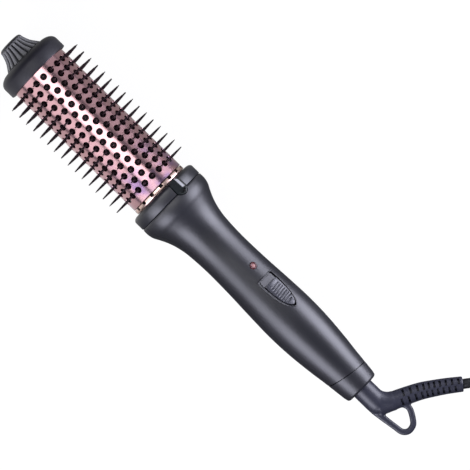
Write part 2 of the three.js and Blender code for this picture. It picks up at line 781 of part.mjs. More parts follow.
function handleLower() {
  const half = box(0, tailRear + reach, -reach, reach, -reach, -seam / 2);
  const inside = handleBody(shellWall / 2, bodySides);
  let shell = handleShell();
  for (const place of handleScrews) {
    const x = handleFront + place;
    const boss = pin(x, 0, -collarRadius, -seam / 2, bossRadius + 1);
    const [seat, bottom] = [screwSeat(place), -2 * collarRadius];
    const bore = upright(x, 0, [
      [bottom, 0], [bottom, handleScrewHead + fit], [seat, handleScrewHead + fit],
      [seat, handleScrewRadius + fit], [1, handleScrewRadius + fit], [1, 0],
    ], 8);
    shell = shell.add(boss.intersect(inside)).subtract(bore);
  }
  return shell.intersect(half);
}

function handleScrew(place) {
  const seat = screwSeat(place) - fit;
  const head = seat - handleScrewHeadHeight;
  return upright(handleFront + place, 0, [
    [head, 0], [head, handleScrewHead], [seat, handleScrewHead], [seat, handleScrewRadius],
    [handleScrewReach, handleScrewRadius], [handleScrewReach, 0],
  ], 8);
}

function controlBoard() {
  const half = boardWidth / 2;
  let plate = box(boardFront, boardFront + boardLength, -half, half, boardTop - boardThickness, boardTop);
  for (const place of boardScrews) {
    plate = plate.subtract(pin(handleFront + place, 0, 0, boardTop + 1, boardScrewRadius + fit));
  }
  return plate;
}

function boardScrew(place) {
  const seat = boardTop - boardThickness - fit;
  const head = seat - boardScrewHeadHeight;
  const end = boardTop + boardScrewReach;
  return upright(handleFront + place, 0, [
    [head, 0], [head, 2 * boardScrewRadius], [seat, 2 * boardScrewRadius], [seat, boardScrewRadius],
    [end, boardScrewRadius], [end, 0],
  ], 8);
}

function capacitor() {
  const front = boardFront + capacitorSetback;
  const centre = boardTop - boardThickness - fit - capacitorRadius;
  return rod(front, front + capacitorLength, capacitorRadius, boardWidth / 4, centre, 12);
}

function triac() {
  const front = handleFront + boardScrews[0] + triacSetback;
  const top = boardTop - boardThickness - fit;
  return box(front, front + triacSize[0], -triacSize[1] / 2, triacSize[1] / 2, top - triacSize[2], top);
}

function switchBody() {
  const middle = stemFront + stemLength / 2 - switchTravel / 2;
  const [halfLength, halfWidth] = [switchBodyLength / 2, switchBodyWidth / 2];
  const body = box(middle - halfLength, middle + halfLength, -halfWidth, halfWidth,
    boardTop + fit, recessFloorTop - recessFloor - fit);
  return body.subtract(stemSlot(recessFloorTop - stemReach - fit));
}

function switchSlider() {
  const outline = bulletOutline(sliderFront, sliderLength, recessHalfWidth - sliderGap);
  const limit = handleBody(-sliderProud, bodySides);
  let slider = raised(outline, recessFloorTop + fit, collarRadius).intersect(limit);
  const bottom = recessRadius + sliderProud - sliderGrooveDepth;
  for (let i = 0; i < sliderGrooves; i += 1) {
    const x = sliderFront + sliderGrooveFrom + i * sliderGroovePitch;
    const half = recessHalfWidth - 2;
    slider = slider.subtract(box(x, x + sliderGrooveWidth, -half, half, bottom, collarRadius));
  }
  const stem = box(stemFront, stemFront + stemLength, -stemWidth / 2, stemWidth / 2,
    recessFloorTop - stemReach, recessFloorTop + 1);
  return slider.add(stem);
}

function indicatorLight() {
  const top = boardTop + lightHeight;
  return upright(lightX, 0, [
    [boardTop + fit, 0], [boardTop + fit, lightRadius], [top - lightTip, lightRadius],
    [top, lightRadius / 2], [top, 0],
  ], 10);
}

function indicatorLens() {
  const top = handleRadius(lightX) + lensProud;
  const under = handleRadius(lightX) - shellWall - lensSeat;
  return upright(lightX, 0, [
    [top - lensLength, 0], [top - lensLength, lensFlange], [under, lensFlange], [under, lensRadius],
    [top - lensEdge, lensRadius], [top, lensRadius - lensEdge], [top, 0],
  ], 12);
}

// Wires go round the screw bosses: each turns out to the side where it passes one
function heaterLead(side) {
  const boss = handleFront + handleScrews[0];
  const end = boardTop - leadDrop;
  return wire([
    [plateRear + fit, side * 2, 0], [barrelRear, side * 3.5, 0], [boss - 8, side * 5.6, 0.5],
    [boss, side * 6.6, 2.5], [boardFront - 2, side * 6, end], [boardFront - fit, side * 6, end],
  ], leadRadius, 5, 9);
}

function mainsLead(side) {
  const boardRear = boardFront + boardLength;
  const boss = handleFront + handleScrews[1];
  const start = boardTop - leadDrop;
  return wire([
    [boardRear + fit, side * 5, start], [boardRear + 2, side * 5, start], [boss, side * 6.2, 2.5],
    [swivelFront - 2, side * 5, 0], [swivelFront - fit, side * 5, 0],
  ], leadRadius, 5, 6);
}

// Swivel places and radii, from the tail's end forwards
const flangeRear = tailRear - tailEndWall - fit;
const flangeFront = flangeRear - spindleFlange;
const housingRear = flangeFront - fit;
const swivelFront = housingRear - housingLength;
const tailInner = handleRadius(tailRear) - tailWall + tailInnerStep;
const housingRadius = tailInner - fit;
const shaftFront = swivelFront + housingFrontWall + spindleSetback;

function tailCap() {
  const end = handleRadius(tailRear);
  const front = handleRear - tailLap;
  const outline = [[front, tailInner], [front, handleRadius(front)]];
  for (const angle of [0, 45, 90]) {
    const along = tailRear - tailCorner * (1 - Math.sin(degrees(angle)));
    outline.push([along, end - tailCorner * (1 - Math.cos(degrees(angle)))]);
  }
  outline.push([tailRear, neckRadius + fit], [tailRear - tailEndWall, neckRadius + fit]);
  outline.push([tailRear - tailEndWall, tailInner]);
  return turned(outline, bodySides).subtract(aheadOfSeam(fit / 2));
}

function swivelHousing() {
  const inner = housingRadius - housingWall;
  const wall = swivelFront + housingFrontWall;
  return turned([
    [swivelFront, 0], [swivelFront, housingRadius], [housingRear, housingRadius],
    [housingRear, inner], [wall, inner], [wall, 0],
  ], 12);
}

function swivelSpindle() {
  const stubEnd = flangeRear + spindleStubLength;
  return turned([
    [shaftFront, 0], [shaftFront, spindleShaft], [flangeFront, spindleShaft],
    [flangeFront, housingRadius], [flangeRear, housingRadius], [flangeRear, spindleStub],
    [stubEnd, spindleStub], [stubEnd, 0],
  ], 12);
}

function contactRingAt(place) {
  const front = shaftFront + place;
  return tube(front, front + contactRingWidth, spindleShaft + fit, spindleShaft + contactRing, 12);
}

function contactSpring(place, side) {
  const near = side * (spindleShaft + contactRing + fit);
  const far = near + side * springThickness;
  const front = swivelFront + housingFrontWall + fit;
  return box(front, shaftFront + place + contactRingWidth, -springWidth / 2, springWidth / 2,
    Math.min(near, far), Math.max(near, far));
}

// The relief's middle line, from the tail's end face
const reliefCurve = new THREE.CatmullRomCurve3(
  reliefPath.map(([x, y]) => new THREE.Vector3(tailRear + x, y, 0)));
const reliefLength = reliefCurve.getLength();
function reliefRadius(share) {
  return reliefRootRadius + (reliefEndRadius - reliefRootRadius) * Math.pow(share, 0.8);
}

function reliefFrame(share) {
  const along = reliefCurve.getTangentAt(share);
  return { centre: reliefCurve.getPointAt(share), along, across: new THREE.Vector3(-along.y, along.x, 0) };
}

function cordBoot() {
  const front = tailRear - tailEndWall + fit;
  const neckEnd = tailRear + neckLength;
  const taper = neckTaper.map(([past, change]) => [neckEnd + past, neckRadius + change]);
  const neck = turned([[front, 0], [front, neckRadius], ...taper, [neckEnd + neckTip, 0]], 12);
  const sides = 8;
  const rings = [];
  const steps = 8;
  for (let i = 0; i <= steps; i += 1) {
    const { centre, across } = reliefFrame(i / steps);
    const radius = reliefRadius(i / steps);
    const ring = [];
    for (let k = 0; k < sides; k += 1) {
      const angle = 2 * Math.PI * (k + 0.5) / sides;
      const point = centre.clone().addScaledVector(across, radius * Math.cos(angle));
      ring.push(point.setZ(point.z + radius * Math.sin(angle)));
    }
    rings.push(ring);
  }
  const place = ([x, y]) => [tailRear + x, y];
  const loop = raised(loopOutline.map(place), -loopThickness / 2, loopThickness / 2, loopHole.map(place));
  const bore = plug(front - 1, flangeRear + spindleStubLength + fit, spindleStub + fit, 12);
  const [first, last] = [reliefSlotsStart / reliefLength, 1 - reliefSlotsSetback / reliefLength];
  let boot = neck.add(lofted(rings)).add(loop);
  for (const face of [-1, 1]) {
    for (let i = 0; i < reliefSlots; i += 1) {
      const share = THREE.MathUtils.lerp(first, last, i / (reliefSlots - 1));
      const radius = reliefRadius(share);
      const { centre, along } = reliefFrame(share);
      const reach = radius * reliefSlotReach;
      const slot = new THREE.BoxGeometry(reliefSlotWidth, reach, 2 * reliefSlotDepth);
      const lean = i % 2 === 0 ? 1 : -1;
      slot.translate(0, lean * radius * reliefSlotShift, face * radius * reliefSlotHeight);
      slot.rotateZ(Math.atan2(along.y, along.x)).translate(centre.x, centre.y, centre.z);
      boot = boot.subtract(solid(slot));
    }
  }
  return boot.subtract(bore);
}

// The coil's middle line: in along the lower layer, up while it turns back, out along the upper one
const coilTurns = 2 * coilTurnsPerLayer;
const coilOuter = coilMiddleRadius + coilPitch * coilTurnsPerLayer / 2;
const coilBottom = tieThickness + fit + cordRadius;

function coilPoint(turn) {
  const half = coilTurnsPerLayer;
  const radius = coilOuter - coilPitch * (turn < half ? turn : coilTurns - turn);
  const climb = THREE.MathUtils.clamp((turn - half + 0.25) / 0.5, 0, 1);
  const angle = 2 * Math.PI * turn;
  const [x, y] = coilCentre;
  const height = coilBottom + coilLayerRise * climb;
  return new THREE.Vector3(x + radius * Math.sin(angle), y + radius * Math.cos(angle), height);
}

function coilRoute() {
  const count = Math.round(coilTurns * coilSteps);
  const route = [];
  for (let i = 0; i <= count; i += 1) route.push(coilPoint(coilTurns * i / count));
  const straight = 2 * cordRadius;
  route.unshift(route[0].clone().setX(route[0].x - straight));
  route.push(route[count + 1].clone().setX(route[count + 1].x - straight));
  return route;
}

// Six-sided section, flat above and below, square to the route and upright
function coilRings(route) {
  return route.map((point, i) => {
    const along = route[Math.min(i + 1, route.length - 1)].clone().sub(route[Math.max(i - 1, 0)]);
    if (i <= 1 || i >= route.length - 2) along.set(i <= 1 ? 1 : -1, 0, 0);
    const across = new THREE.Vector3(-along.y, along.x, 0).normalize();
    const corners = [[1, 0], [0.55, 1], [-0.55, 1], [-1, 0], [-0.55, -1], [0.55, -1]];
    return corners.map(([side, up]) => {
      const corner = point.clone().addScaledVector(across, cordRadius * side);
      return corner.setZ(corner.z + cordRadius * up);
    });
  });
}

function cordCoil() {
  const route = coilRoute();
  const rings = coilRings(route);
  let least = Infinity;
  for (let i = 0; i < rings.length; i += 1) {
    for (let k = i + coilSteps / 2; k < rings.length; k += 1) {
      for (const a of rings[i]) {
        for (const b of rings[k]) least = Math.min(least, a.distanceTo(b));
      }
    }
  }
  console.log(`coil: least gap to itself ${least.toFixed(2)} mm`);
  return lofted(rings);
}

function routeLength(route) {
  let length = 0;
  for (let i = 1; i < route.length; i += 1) length += route[i].distanceTo(route[i - 1]);
  return length;
}

// The free stretch from the boot's end down to the floor and round to the coil
function leadRoute() {
  const end = reliefCurve.getPointAt(1);
  const away = reliefCurve.getTangentAt(1);
  const start = new THREE.Vector3(end.x, end.y, axisHeight).addScaledVector(away, fit);
  const first = coilRoute()[0];
  const points = leadPoints.map(([x, y, z]) => new THREE.Vector3(end.x + x, end.y + y, axisHeight + z));
  const last = first.clone().setX(first.x - fit);
  return [start, ...points, last.clone().setX(last.x - 2 * cordRadius), last];
}

function cordLead() {
  return wire(leadRoute().map((point) => point.toArray()), cordRadius, 10, 9);
}

// The short stretch from the coil's upper end to the plug
function tailRoute() {
  const route = coilRoute();
  const end = route[route.length - 1];
  const entry = new THREE.Vector3(plugEntry[0] + fit, plugEntry[1], plugHeight / 2);
  const leave = end.clone().setX(end.x - plugStraight);
  const arrive = entry.clone().setX(entry.x + plugStraight);
  return [end.clone().setX(end.x - fit), leave, arrive, entry];
}

function cordTail() {
  return wire(tailRoute().map((point) => point.toArray()), cordRadius, 10, 4);
}

function cordTie() {
  const [x, y] = coilCentre;
  const inner = x + coilOuter - coilPitch * (coilTurnsPerLayer + 0.5) - cordRadius - 2 * fit;
  const outer = x + coilOuter + cordRadius + fit;
  const top = coilBottom + coilLayerRise + cordRadius + fit;
  const half = tieWidth / 2;
  const strap = box(inner - tieThickness, outer + tieThickness, y - half, y + half, 0, top + tieThickness);
  return strap.subtract(box(inner, outer, y - tieWidth, y + tieWidth, tieThickness, top));
}

const bladeSides = [-1, 1];
function bladeBox(side, grow) {
  const face = plugEntry[0] - plugLength;
  const middle = plugEntry[1] + side * bladeSpacing / 2;
  const across = bladeThickness / 2 + grow;
  const up = bladeWidth / 2 + grow;
  return box(face - bladeLength, face + bladeRoot + grow, middle - across, middle + across,
    plugHeight / 2 - up, plugHeight / 2 + up);
}

function plugBody() {
  const [x, y] = plugEntry;
  const side = [
    [x, plugNeck], [x - plugCorner, plugNeck + 1], [x - 2.5 * plugCorner, plugWidth / 2],
    [x - plugLength, plugWidth / 2],
  ];
  const mirrored = side.map(([along, across]) => [along, -across]).reverse();
  const outline = [...side, ...mirrored].map(([along, across]) => [along, y + across]);
  let body = raised(outline, 0, plugHeight);
  for (const side of bladeSides) body = body.subtract(bladeBox(side, fit));
  return body;
}

// A named mesh for each piece
function piece(name, manifold, material) {
  const mesh = new THREE.Mesh(geometryOf(manifold), material);
  mesh.name = name;
  return mesh;
}

const brush = new THREE.Group();
brush.add(piece("tip_nose", tipNose(), blackPlastic()));
brush.add(piece("front_cap", frontCap(), blackPlastic()));
brush.add(piece("cap_screw_upper", capScrew(1), steel()));
brush.add(piece("cap_screw_lower", capScrew(-1), steel()));
brush.add(piece("barrel", barrel(), roseMetal()));
for (let i = 0; i < stripCount; i += 1) {
  brush.add(piece(`bristle_strip_${i + 1}`, bristleStrip(i), nylon()));
}
brush.add(piece("heater_block_upper", heaterBlock(1), aluminium()));
brush.add(piece("heater_block_lower", heaterBlock(-1), aluminium()));
brush.add(piece("heating_plate", heatingPlate(), ceramic()));
brush.add(piece("insulating_sheet_upper", insulatingSheet(1), ceramic()));
brush.add(piece("insulating_sheet_lower", insulatingSheet(-1), ceramic()));
brush.add(piece("thermal_fuse", thermalFuse(), steel()));
brush.add(piece("temperature_sensor", temperatureSensor(), ceramic()));
brush.add(piece("barrel_end_ring", barrelEndRing(), peachMetal()));
brush.add(piece("barrel_mount", barrelMount(), heatPlastic()));
brush.add(piece("collar_ring", collarRing(), blackPlastic()));
brush.add(piece("ion_outlet", ionOutlet(), finish(0x101418, 0.1)));
brush.add(piece("emitter_needle", emitterNeedle(), steel()));
brush.add(piece("ion_module", ionModule(), blackPlastic()));
brush.add(piece("handle_upper", handleUpper(), blackPlastic()));
brush.add(piece("handle_lower", handleLower(), blackPlastic()));
brush.add(piece("handle_screw_front", handleScrew(handleScrews[0]), steel()));
brush.add(piece("handle_screw_rear", handleScrew(handleScrews[1]), steel()));
brush.add(piece("control_board", controlBoard(), board()));
brush.add(piece("board_screw_front", boardScrew(boardScrews[0]), steel()));
brush.add(piece("board_screw_rear", boardScrew(boardScrews[1]), steel()));
brush.add(piece("board_capacitor", capacitor(), finish(0x24405e, 0.4)));
brush.add(piece("triac", triac(), blackPlastic()));
brush.add(piece("switch_body", switchBody(), blackPlastic()));
brush.add(piece("switch_slider", switchSlider(), blackPlastic()));
brush.add(piece("indicator_light", indicatorLight(), redPlastic()));
brush.add(piece("indicator_lens", indicatorLens(), redPlastic()));
brush.add(piece("heater_lead_live", heaterLead(1), finish(0xa03028, 0.5)));
brush.add(piece("heater_lead_neutral", heaterLead(-1), finish(0xe8e8e8, 0.5)));
brush.add(piece("mains_lead_live", mainsLead(1), finish(0xa03028, 0.5)));
brush.add(piece("mains_lead_neutral", mainsLead(-1), finish(0xe8e8e8, 0.5)));
brush.add(piece("tail_cap", tailCap(), blackPlastic()));
brush.add(piece("swivel_housing", swivelHousing(), blackPlastic()));
brush.add(piece("contact_spring_live", contactSpring(contactRings[0], 1), brass()));
brush.add(piece("contact_spring_neutral", contactSpring(contactRings[1], -1), brass()));
brush.rotation.x = -degrees(brushRoll);
brush.position.z = axisHeight;

const tail = new THREE.Group();
tail.add(piece("swivel_spindle", swivelSpindle(), heatPlastic()));
tail.add(piece("contact_ring_live", contactRingAt(contactRings[0]), brass()));
tail.add(piece("contact_ring_neutral", contactRingAt(contactRings[1]), brass()));
tail.add(piece("cord_boot", cordBoot(), softBlack()));
tail.position.z = axisHeight;

const cord = new THREE.Group();
cord.add(piece("cord_lead", cordLead(), softBlack()));
cord.add(piece("cord_coil", cordCoil(), softBlack()));
cord.add(piece("cord_tie", cordTie(), softBlack()));
cord.add(piece("cord_tail", cordTail(), softBlack()));
cord.add(piece("plug_body", plugBody(), softBlack()));
cord.add(piece("plug_blade_left", bladeBox(1, 0), brass()));
cord.add(piece("plug_blade_right", bladeBox(-1, 0), brass()));

const cordLength = routeLength(leadRoute()) + routeLength(coilRoute()) + routeLength(tailRoute());
console.log(`cord: ${cordLength.toFixed(0)} mm from the boot to the plug`);

// The origin lies under the middle of the brush, on the floor
const part = new THREE.Group();
part.add(brush, tail);
part.updateMatrixWorld(true);
const extent = new THREE.Box3().setFromObject(part, true);
part.add(cord);
part.position.set(-(extent.min.x + extent.max.x) / 2, -(extent.min.y + extent.max.y) / 2, -extent.min.z);
const origin = `x ${(-part.position.x).toFixed(3)}, y ${(-part.position.y).toFixed(3)}`;
console.log(`origin: ${origin}, tail end at ${(tailRear + part.position.x).toFixed(3)}`);

export default part;
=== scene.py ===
"""The finish of a heated styling brush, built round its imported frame. Lengths are in millimetres
until a piece is put in place, and in metres after that."""

import math

import bmesh
import bpy
from mathutils import Matrix, Vector


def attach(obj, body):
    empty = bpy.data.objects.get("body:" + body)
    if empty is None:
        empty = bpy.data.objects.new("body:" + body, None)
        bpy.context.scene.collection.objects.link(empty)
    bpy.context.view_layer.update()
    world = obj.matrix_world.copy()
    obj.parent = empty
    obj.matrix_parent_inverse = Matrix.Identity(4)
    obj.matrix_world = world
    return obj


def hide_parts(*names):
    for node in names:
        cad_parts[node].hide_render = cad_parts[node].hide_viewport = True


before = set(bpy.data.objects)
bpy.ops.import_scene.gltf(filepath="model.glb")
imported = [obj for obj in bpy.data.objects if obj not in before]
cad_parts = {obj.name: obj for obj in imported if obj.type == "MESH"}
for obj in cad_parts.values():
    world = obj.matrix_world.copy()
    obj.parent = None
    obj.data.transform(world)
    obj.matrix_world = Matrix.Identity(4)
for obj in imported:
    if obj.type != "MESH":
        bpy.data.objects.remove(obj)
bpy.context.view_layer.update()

MM = 0.001
NOSE_X, AXIS_Y, AXIS_Z = -0.166964, -0.009122, 0.027     # the nose's end face, on the axis
ROLL = math.radians(27)                                  # the switch's turn from straight up
FLOOR = Matrix.Translation((NOSE_X, AXIS_Y, 0)) @ Matrix.Scale(MM, 4)
AXIS = Matrix.Translation((NOSE_X, AXIS_Y, AXIS_Z)) @ Matrix.Scale(MM, 4)
BRUSH = AXIS @ Matrix.Rotation(-ROLL, 4, "X")

# Places along the axis, from the nose's end face
CAP_FRONT, CAP_REAR, CAP_WEB, WEB_REAR = 12.6, 24.6, 17.5, 21.3
BARREL_FRONT, BARREL_REAR = 21.6, 121.9
RING_FRONT, RING_REAR = 122.2, 124.8
COLLAR_FRONT, COLLAR_REAR = 125.1, 133.1
HANDLE_FRONT, HANDLE_REAR, TAIL_REAR = 133.4, 277.4, 290.2
RECESS_FRONT, RECESS_LENGTH = 203.2, 24.6
LIGHT_X = 194.0


# Node trees

def feed(tree, node, inputs):
    """Gives each input its plain value, or links it to the output socket that feeds it."""
    for name, value in inputs.items():
        if isinstance(value, bpy.types.NodeSocket):
            tree.links.new(value, node.inputs[name])
        else:
            node.inputs[name].default_value = value


def put(tree, kind, inputs=None, **settings):
    """Adds a node, with its settings and its inputs."""
    made = tree.nodes.new(kind)
    for name, value in settings.items():
        setattr(made, name, value)
    feed(tree, made, inputs or {})
    return made


def arithmetic(tree, how, *values, clamp=False):
    """One step of arithmetic on plain values and sockets."""
    return put(tree, "ShaderNodeMath", dict(enumerate(values)), operation=how, use_clamp=clamp).outputs[0]


def ranged(tree, value, from_low, from_high, low=0.0, high=1.0):
    """A value moved from one range to another."""
    span = {"From Min": from_low, "From Max": from_high, "To Min": low, "To Max": high}
    return put(tree, "ShaderNodeMapRange", {"Value": value, **span}).outputs["Result"]


def vector_of(tree, **parts):
    return put(tree, "ShaderNodeCombineXYZ", parts).outputs[0]


def parts_of(tree, vector):
    return put(tree, "ShaderNodeSeparateXYZ", {0: vector}).outputs


def place_of(tree):
    """The place on the object that is being shaded."""
    return put(tree, "ShaderNodeTexCoord").outputs["Object"]


def noise(tree, place, scale, detail, roughness=0.5, distortion=0.0):
    look = {"Scale": scale, "Detail": detail, "Roughness": roughness, "Distortion": distortion}
    return put(tree, "ShaderNodeTexNoise", {"Vector": place, **look}).outputs["Fac"]


def new_group(name, kind, inputs, outputs):
    """A node group; inputs are (name, socket type, value) and outputs (name, socket type)."""
    tree = bpy.data.node_groups.new(name, kind)
    for label, socket_type, value in inputs:
        socket = tree.interface.new_socket(label, in_out="INPUT", socket_type="NodeSocket" + socket_type)
        if value is not None:
            socket.default_value = value
    for label, socket_type in outputs:
        tree.interface.new_socket(label, in_out="OUTPUT", socket_type="NodeSocket" + socket_type)
    return tree, tree.nodes.new("NodeGroupInput").outputs, tree.nodes.new("NodeGroupOutput")


def end_group(tree, result, *values):
    """Hands over a group's outputs in their order."""
    for value, socket in zip(values, result.inputs):
        tree.links.new(value, socket)
    arrange(tree)
    return tree


def arrange(tree):
    """Lays the nodes out in columns, from what feeds them to what they feed."""
    depth = {node: 0 for node in tree.nodes}
    for _ in tree.nodes:
        for link in tree.links:
            depth[link.from_node] = max(depth[link.from_node], depth[link.to_node] + 1)
    levels = list(depth.values())
    for i, (node, level) in enumerate(depth.items()):
        node.location = (-260 * level, -220 * levels[:i].count(level))


# Shared effects

def grain_group():
    """Fine grain for Bump, and slow patches of tone and gloss, both from the object's own place."""
    tree, given, result = new_group(
        "surface grain", "ShaderNodeTree",
        [("Grain Scale", "Float", 900.0), ("Patch Scale", "Float", 30.0),
         ("Stretch", "Vector", (1.0, 1.0, 1.0))],
        [("Height", "Float"), ("Tone", "Float")])
    place = place_of(tree)
    stretched = put(tree, "ShaderNodeVectorMath", {0: place, 1: given["Stretch"]}, operation="MULTIPLY")
    fine = noise(tree, stretched.outputs[0], given["Grain Scale"], 4.0, 0.62)
    slow = noise(tree, place, given["Patch Scale"], 3.0, 0.5, 0.4)
    return end_group(tree, result, fine, ranged(tree, slow, 0.3, 0.7))


def wear_group():
    """A mask of rubbed edges: where the surface turns sharply outwards, broken up by noise."""
    tree, given, result = new_group(
        "edge wear", "ShaderNodeTree",
        [("Amount", "Float", 0.5), ("Breakup Scale", "Float", 350.0)], [("Mask", "Float")])
    edges = ranged(tree, put(tree, "ShaderNodeNewGeometry").outputs["Pointiness"], 0.52, 0.62)
    broken = ranged(tree, noise(tree, place_of(tree), given["Breakup Scale"], 5.0, 0.65), 0.42, 0.66)
    both = arithmetic(tree, "MULTIPLY", edges, broken)
    return end_group(tree, result, arithmetic(tree, "MULTIPLY", both, given["Amount"], clamp=True))


def dust_group():
    """Sparse specks of lint and handling marks, as a mask."""
    tree, given, result = new_group(
        "handling marks", "ShaderNodeTree",
        [("Speck Scale", "Float", 700.0), ("Amount", "Float", 0.3)], [("Mask", "Float")])
    place = place_of(tree)
    specks = put(tree, "ShaderNodeTexVoronoi", {
        "Vector": place, "Scale": given["Speck Scale"], "Randomness": 1.0})
    near = ranged(tree, specks.outputs["Distance"], 0.0, 0.12, 1.0, 0.0)
    both = arithmetic(tree, "MULTIPLY", near, ranged(tree, noise(tree, place, 60.0, 2.0), 0.52, 0.7))
    return end_group(tree, result, arithmetic(tree, "MULTIPLY", both, given["Amount"], clamp=True))


GRAIN, WEAR, MARKS = grain_group(), wear_group(), dust_group()


def group(tree, which, **inputs):
    """The outputs of a shared effect, placed with its own values."""
    made = put(tree, "ShaderNodeGroup", node_tree=which)
    feed(tree, made, {name.replace("_", " ").title(): value for name, value in inputs.items()})
    return made.outputs


def mix(tree, share, low, high):
    """Colour between low and high; each is a colour or a socket."""
    low, high = (c if isinstance(c, bpy.types.NodeSocket) else (*c, 1.0) for c in (low, high))
    return put(tree, "ShaderNodeMix", {0: share, 6: low, 7: high}, data_type="RGBA").outputs[2]


def new_material(name):
    """A material, its node tree and its shader."""
    material = bpy.data.materials.new(name)
    material.use_nodes = True
    return material, material.node_tree, material.node_tree.nodes["Principled BSDF"]


def finish(name, colour, roughness, metallic=0.0, specular=0.5, grain=900.0, bump=0.15, depth=0.00002,
           tone=0.12, wear=0.3, wear_colour=None, marks=0.1, stretch=(1.0, 1.0, 1.0), coat=0.0, alter=None):
    """A surface with grain, slow changes of tone and gloss, rubbed edges and handling marks."""
    material, tree, shader = new_material(name)
    grained = group(tree, GRAIN, grain_scale=grain, stretch=stretch)
    worn = group(tree, WEAR, amount=wear)["Mask"]
    marked = group(tree, MARKS, amount=marks)["Mask"]
    dark = [c * (1 - tone) for c in colour]
    light = [min(1.0, c * (1 + tone)) for c in colour]
    rubbed = wear_colour or [min(1.0, 1.6 * c + 0.02) for c in colour]
    body = mix(tree, grained["Tone"], dark, light)
    if alter:
        body = alter(tree, body)
    body = mix(tree, worn, body, rubbed)
    body = mix(tree, marked, body, [min(1.0, c + 0.12) for c in colour])
    gloss = ranged(tree, grained["Tone"], 0.0, 1.0, roughness * 0.93, min(1.0, roughness * 1.07))
    dulled = arithmetic(tree, "ADD", gloss, marked, clamp=True)
    relief = put(tree, "ShaderNodeBump", {"Height": grained["Height"], "Strength": bump, "Distance": depth})
    feed(tree, shader, {
        "Base Color": body, "Metallic": metallic, "Roughness": dulled, "Normal": relief.outputs["Normal"],
        "Specular IOR Level": specular, "Coat Weight": coat, "Coat Roughness": 0.1})
    arrange(tree)
    return material


def heat_tint(tree, body):
    """Violet temper colours that gather in patches towards the barrel's rear end."""
    place = place_of(tree)
    rear = ranged(tree, parts_of(tree, place)["X"], NOSE_X + 0.088, NOSE_X + 0.112)
    patches = ranged(tree, noise(tree, place, 95.0, 2.0), 0.45, 0.62, 0.0, 0.8)
    return mix(tree, arithmetic(tree, "MULTIPLY", rear, patches), body, (0.26, 0.17, 0.34))


def groove_shade(tree, body):
    """Painted shade darkens the nose's grooves, and its plain end is darker too, from the share stored with
    the mesh.
    """
    share = put(tree, "ShaderNodeAttribute", attribute_name="rib").outputs["Fac"]
    return mix(tree, share, (0.012, 0.012, 0.016), body)


def strap_weave(tree, body):
    """Cross-woven ribs of the strap, as lighter and darker threads."""
    place = place_of(tree)
    threads = [put(tree, "ShaderNodeTexWave", {"Vector": place, "Scale": 260.0, "Distortion": 1.5},
                   bands_direction=way).outputs["Fac"] for way in ("Y", "DIAGONAL")]
    return mix(tree, arithmetic(tree, "MULTIPLY", *threads), body, (0.05, 0.05, 0.055))


ALONG = (1.0, 0.12, 0.12)     # grain drawn out along the axis
SATIN_BLACK = finish("satin charcoal plastic", (0.009, 0.0092, 0.0135), 0.40, specular=0.75, grain=1500,
                     bump=0.25, wear=0.15)
MATT_BLACK = finish("matt charcoal plastic", (0.012, 0.0115, 0.018), 0.5, specular=0.42, grain=1300,
                    bump=0.3, wear=0.15)
# The nose's grey is partly its plastic's own colour and partly a painted sheen on the ribs; its grooves get
# painted shade
RIB_GREY_AND_SHEEN = finish("nose plastic", (0.24, 0.24, 0.255), 0.36, specular=0.8, grain=1500, bump=0.2, wear=0.0,
                  marks=0.05, alter=groove_shade)
GLOSS_BLACK = finish("polished black plastic", (0.004, 0.007, 0.008), 0.12, specular=1.0, bump=0.03,
                     marks=0.02, wear=0.0, coat=1.0)
SWITCH_GREY = finish("switch plastic", (0.03, 0.031, 0.042), 0.38, specular=0.7, grain=1600, bump=0.25)
ROSE_METAL = finish("rose anodised metal", (0.56, 0.33, 0.355), 0.2, metallic=1.0, grain=800, bump=0.12,
                    stretch=ALONG, tone=0.05, wear_colour=(0.92, 0.78, 0.78), alter=heat_tint)
PEACH_METAL = finish("peach anodised metal", (0.78, 0.56, 0.49), 0.28, metallic=1.0, grain=800, bump=0.12,
                     stretch=ALONG, tone=0.05, wear_colour=(0.95, 0.85, 0.8))
NYLON = finish("black nylon", (0.014, 0.006, 0.009), 0.5, specular=0.25, grain=1800, bump=0.2, tone=0.2,
               wear=0.0, marks=0.0)
CORD_BLACK = finish("soft black vinyl", (0.008, 0.008, 0.009), 0.46, specular=0.4, grain=1500, bump=0.35,
                    marks=0.2)
BOOT_BLUE = finish("blue-black moulding", (0.019, 0.020, 0.033), 0.42, specular=0.6, grain=1300, bump=0.3,
                   wear=0.1)
RED_LENS = finish("clear red plastic", (0.085, 0.012, 0.015), 0.2, bump=0.02, coat=0.2, wear=0.0)
LENS_CORE = finish("lit lamp", (0.38, 0.19, 0.18), 0.3, specular=0.3, bump=0.02, wear=0.0)
STEEL = finish("zinc plated steel", (0.42, 0.43, 0.44), 0.34, metallic=1.0, bump=0.15)
# Steel darkened as painted shade, for the needle seen inside the ion outlet
SHADED_STEEL = finish("steel darkened as painted shade", (0.05, 0.045, 0.045), 0.5, metallic=1.0, bump=0.2)
ALUMINIUM = finish("cast aluminium", (0.55, 0.56, 0.58), 0.45, metallic=1.0, grain=600, bump=0.5)
BRASS = finish("bright brass", (0.72, 0.52, 0.22), 0.24, metallic=1.0, grain=900, bump=0.1,
               stretch=(0.2, 1.0, 1.0))
CERAMIC = finish("fired ceramic", (0.78, 0.75, 0.68), 0.7, grain=700, bump=0.4)
HEAT_PLASTIC = finish("heat-resistant plastic", (0.26, 0.19, 0.11), 0.55, bump=0.3)
BOARD = finish("circuit laminate", (0.03, 0.15, 0.045), 0.45, bump=0.2, coat=0.3)
SLEEVE_BLUE = finish("capacitor sleeve", (0.02, 0.05, 0.11), 0.3, bump=0.1)
WIRE_RED = finish("red wire", (0.35, 0.03, 0.02), 0.4, bump=0.1)
WIRE_WHITE = finish("white wire", (0.78, 0.78, 0.77), 0.4, bump=0.1)
STRAP = finish("hook-and-loop strap", (0.012, 0.012, 0.014), 0.85, grain=1200, bump=0.8, depth=0.0001,
               specular=0.2, alter=strap_weave)


# Mesh tools

def add_object(name, data):
    made = bpy.data.objects.new(name, data)
    bpy.context.scene.collection.objects.link(made)
    return made


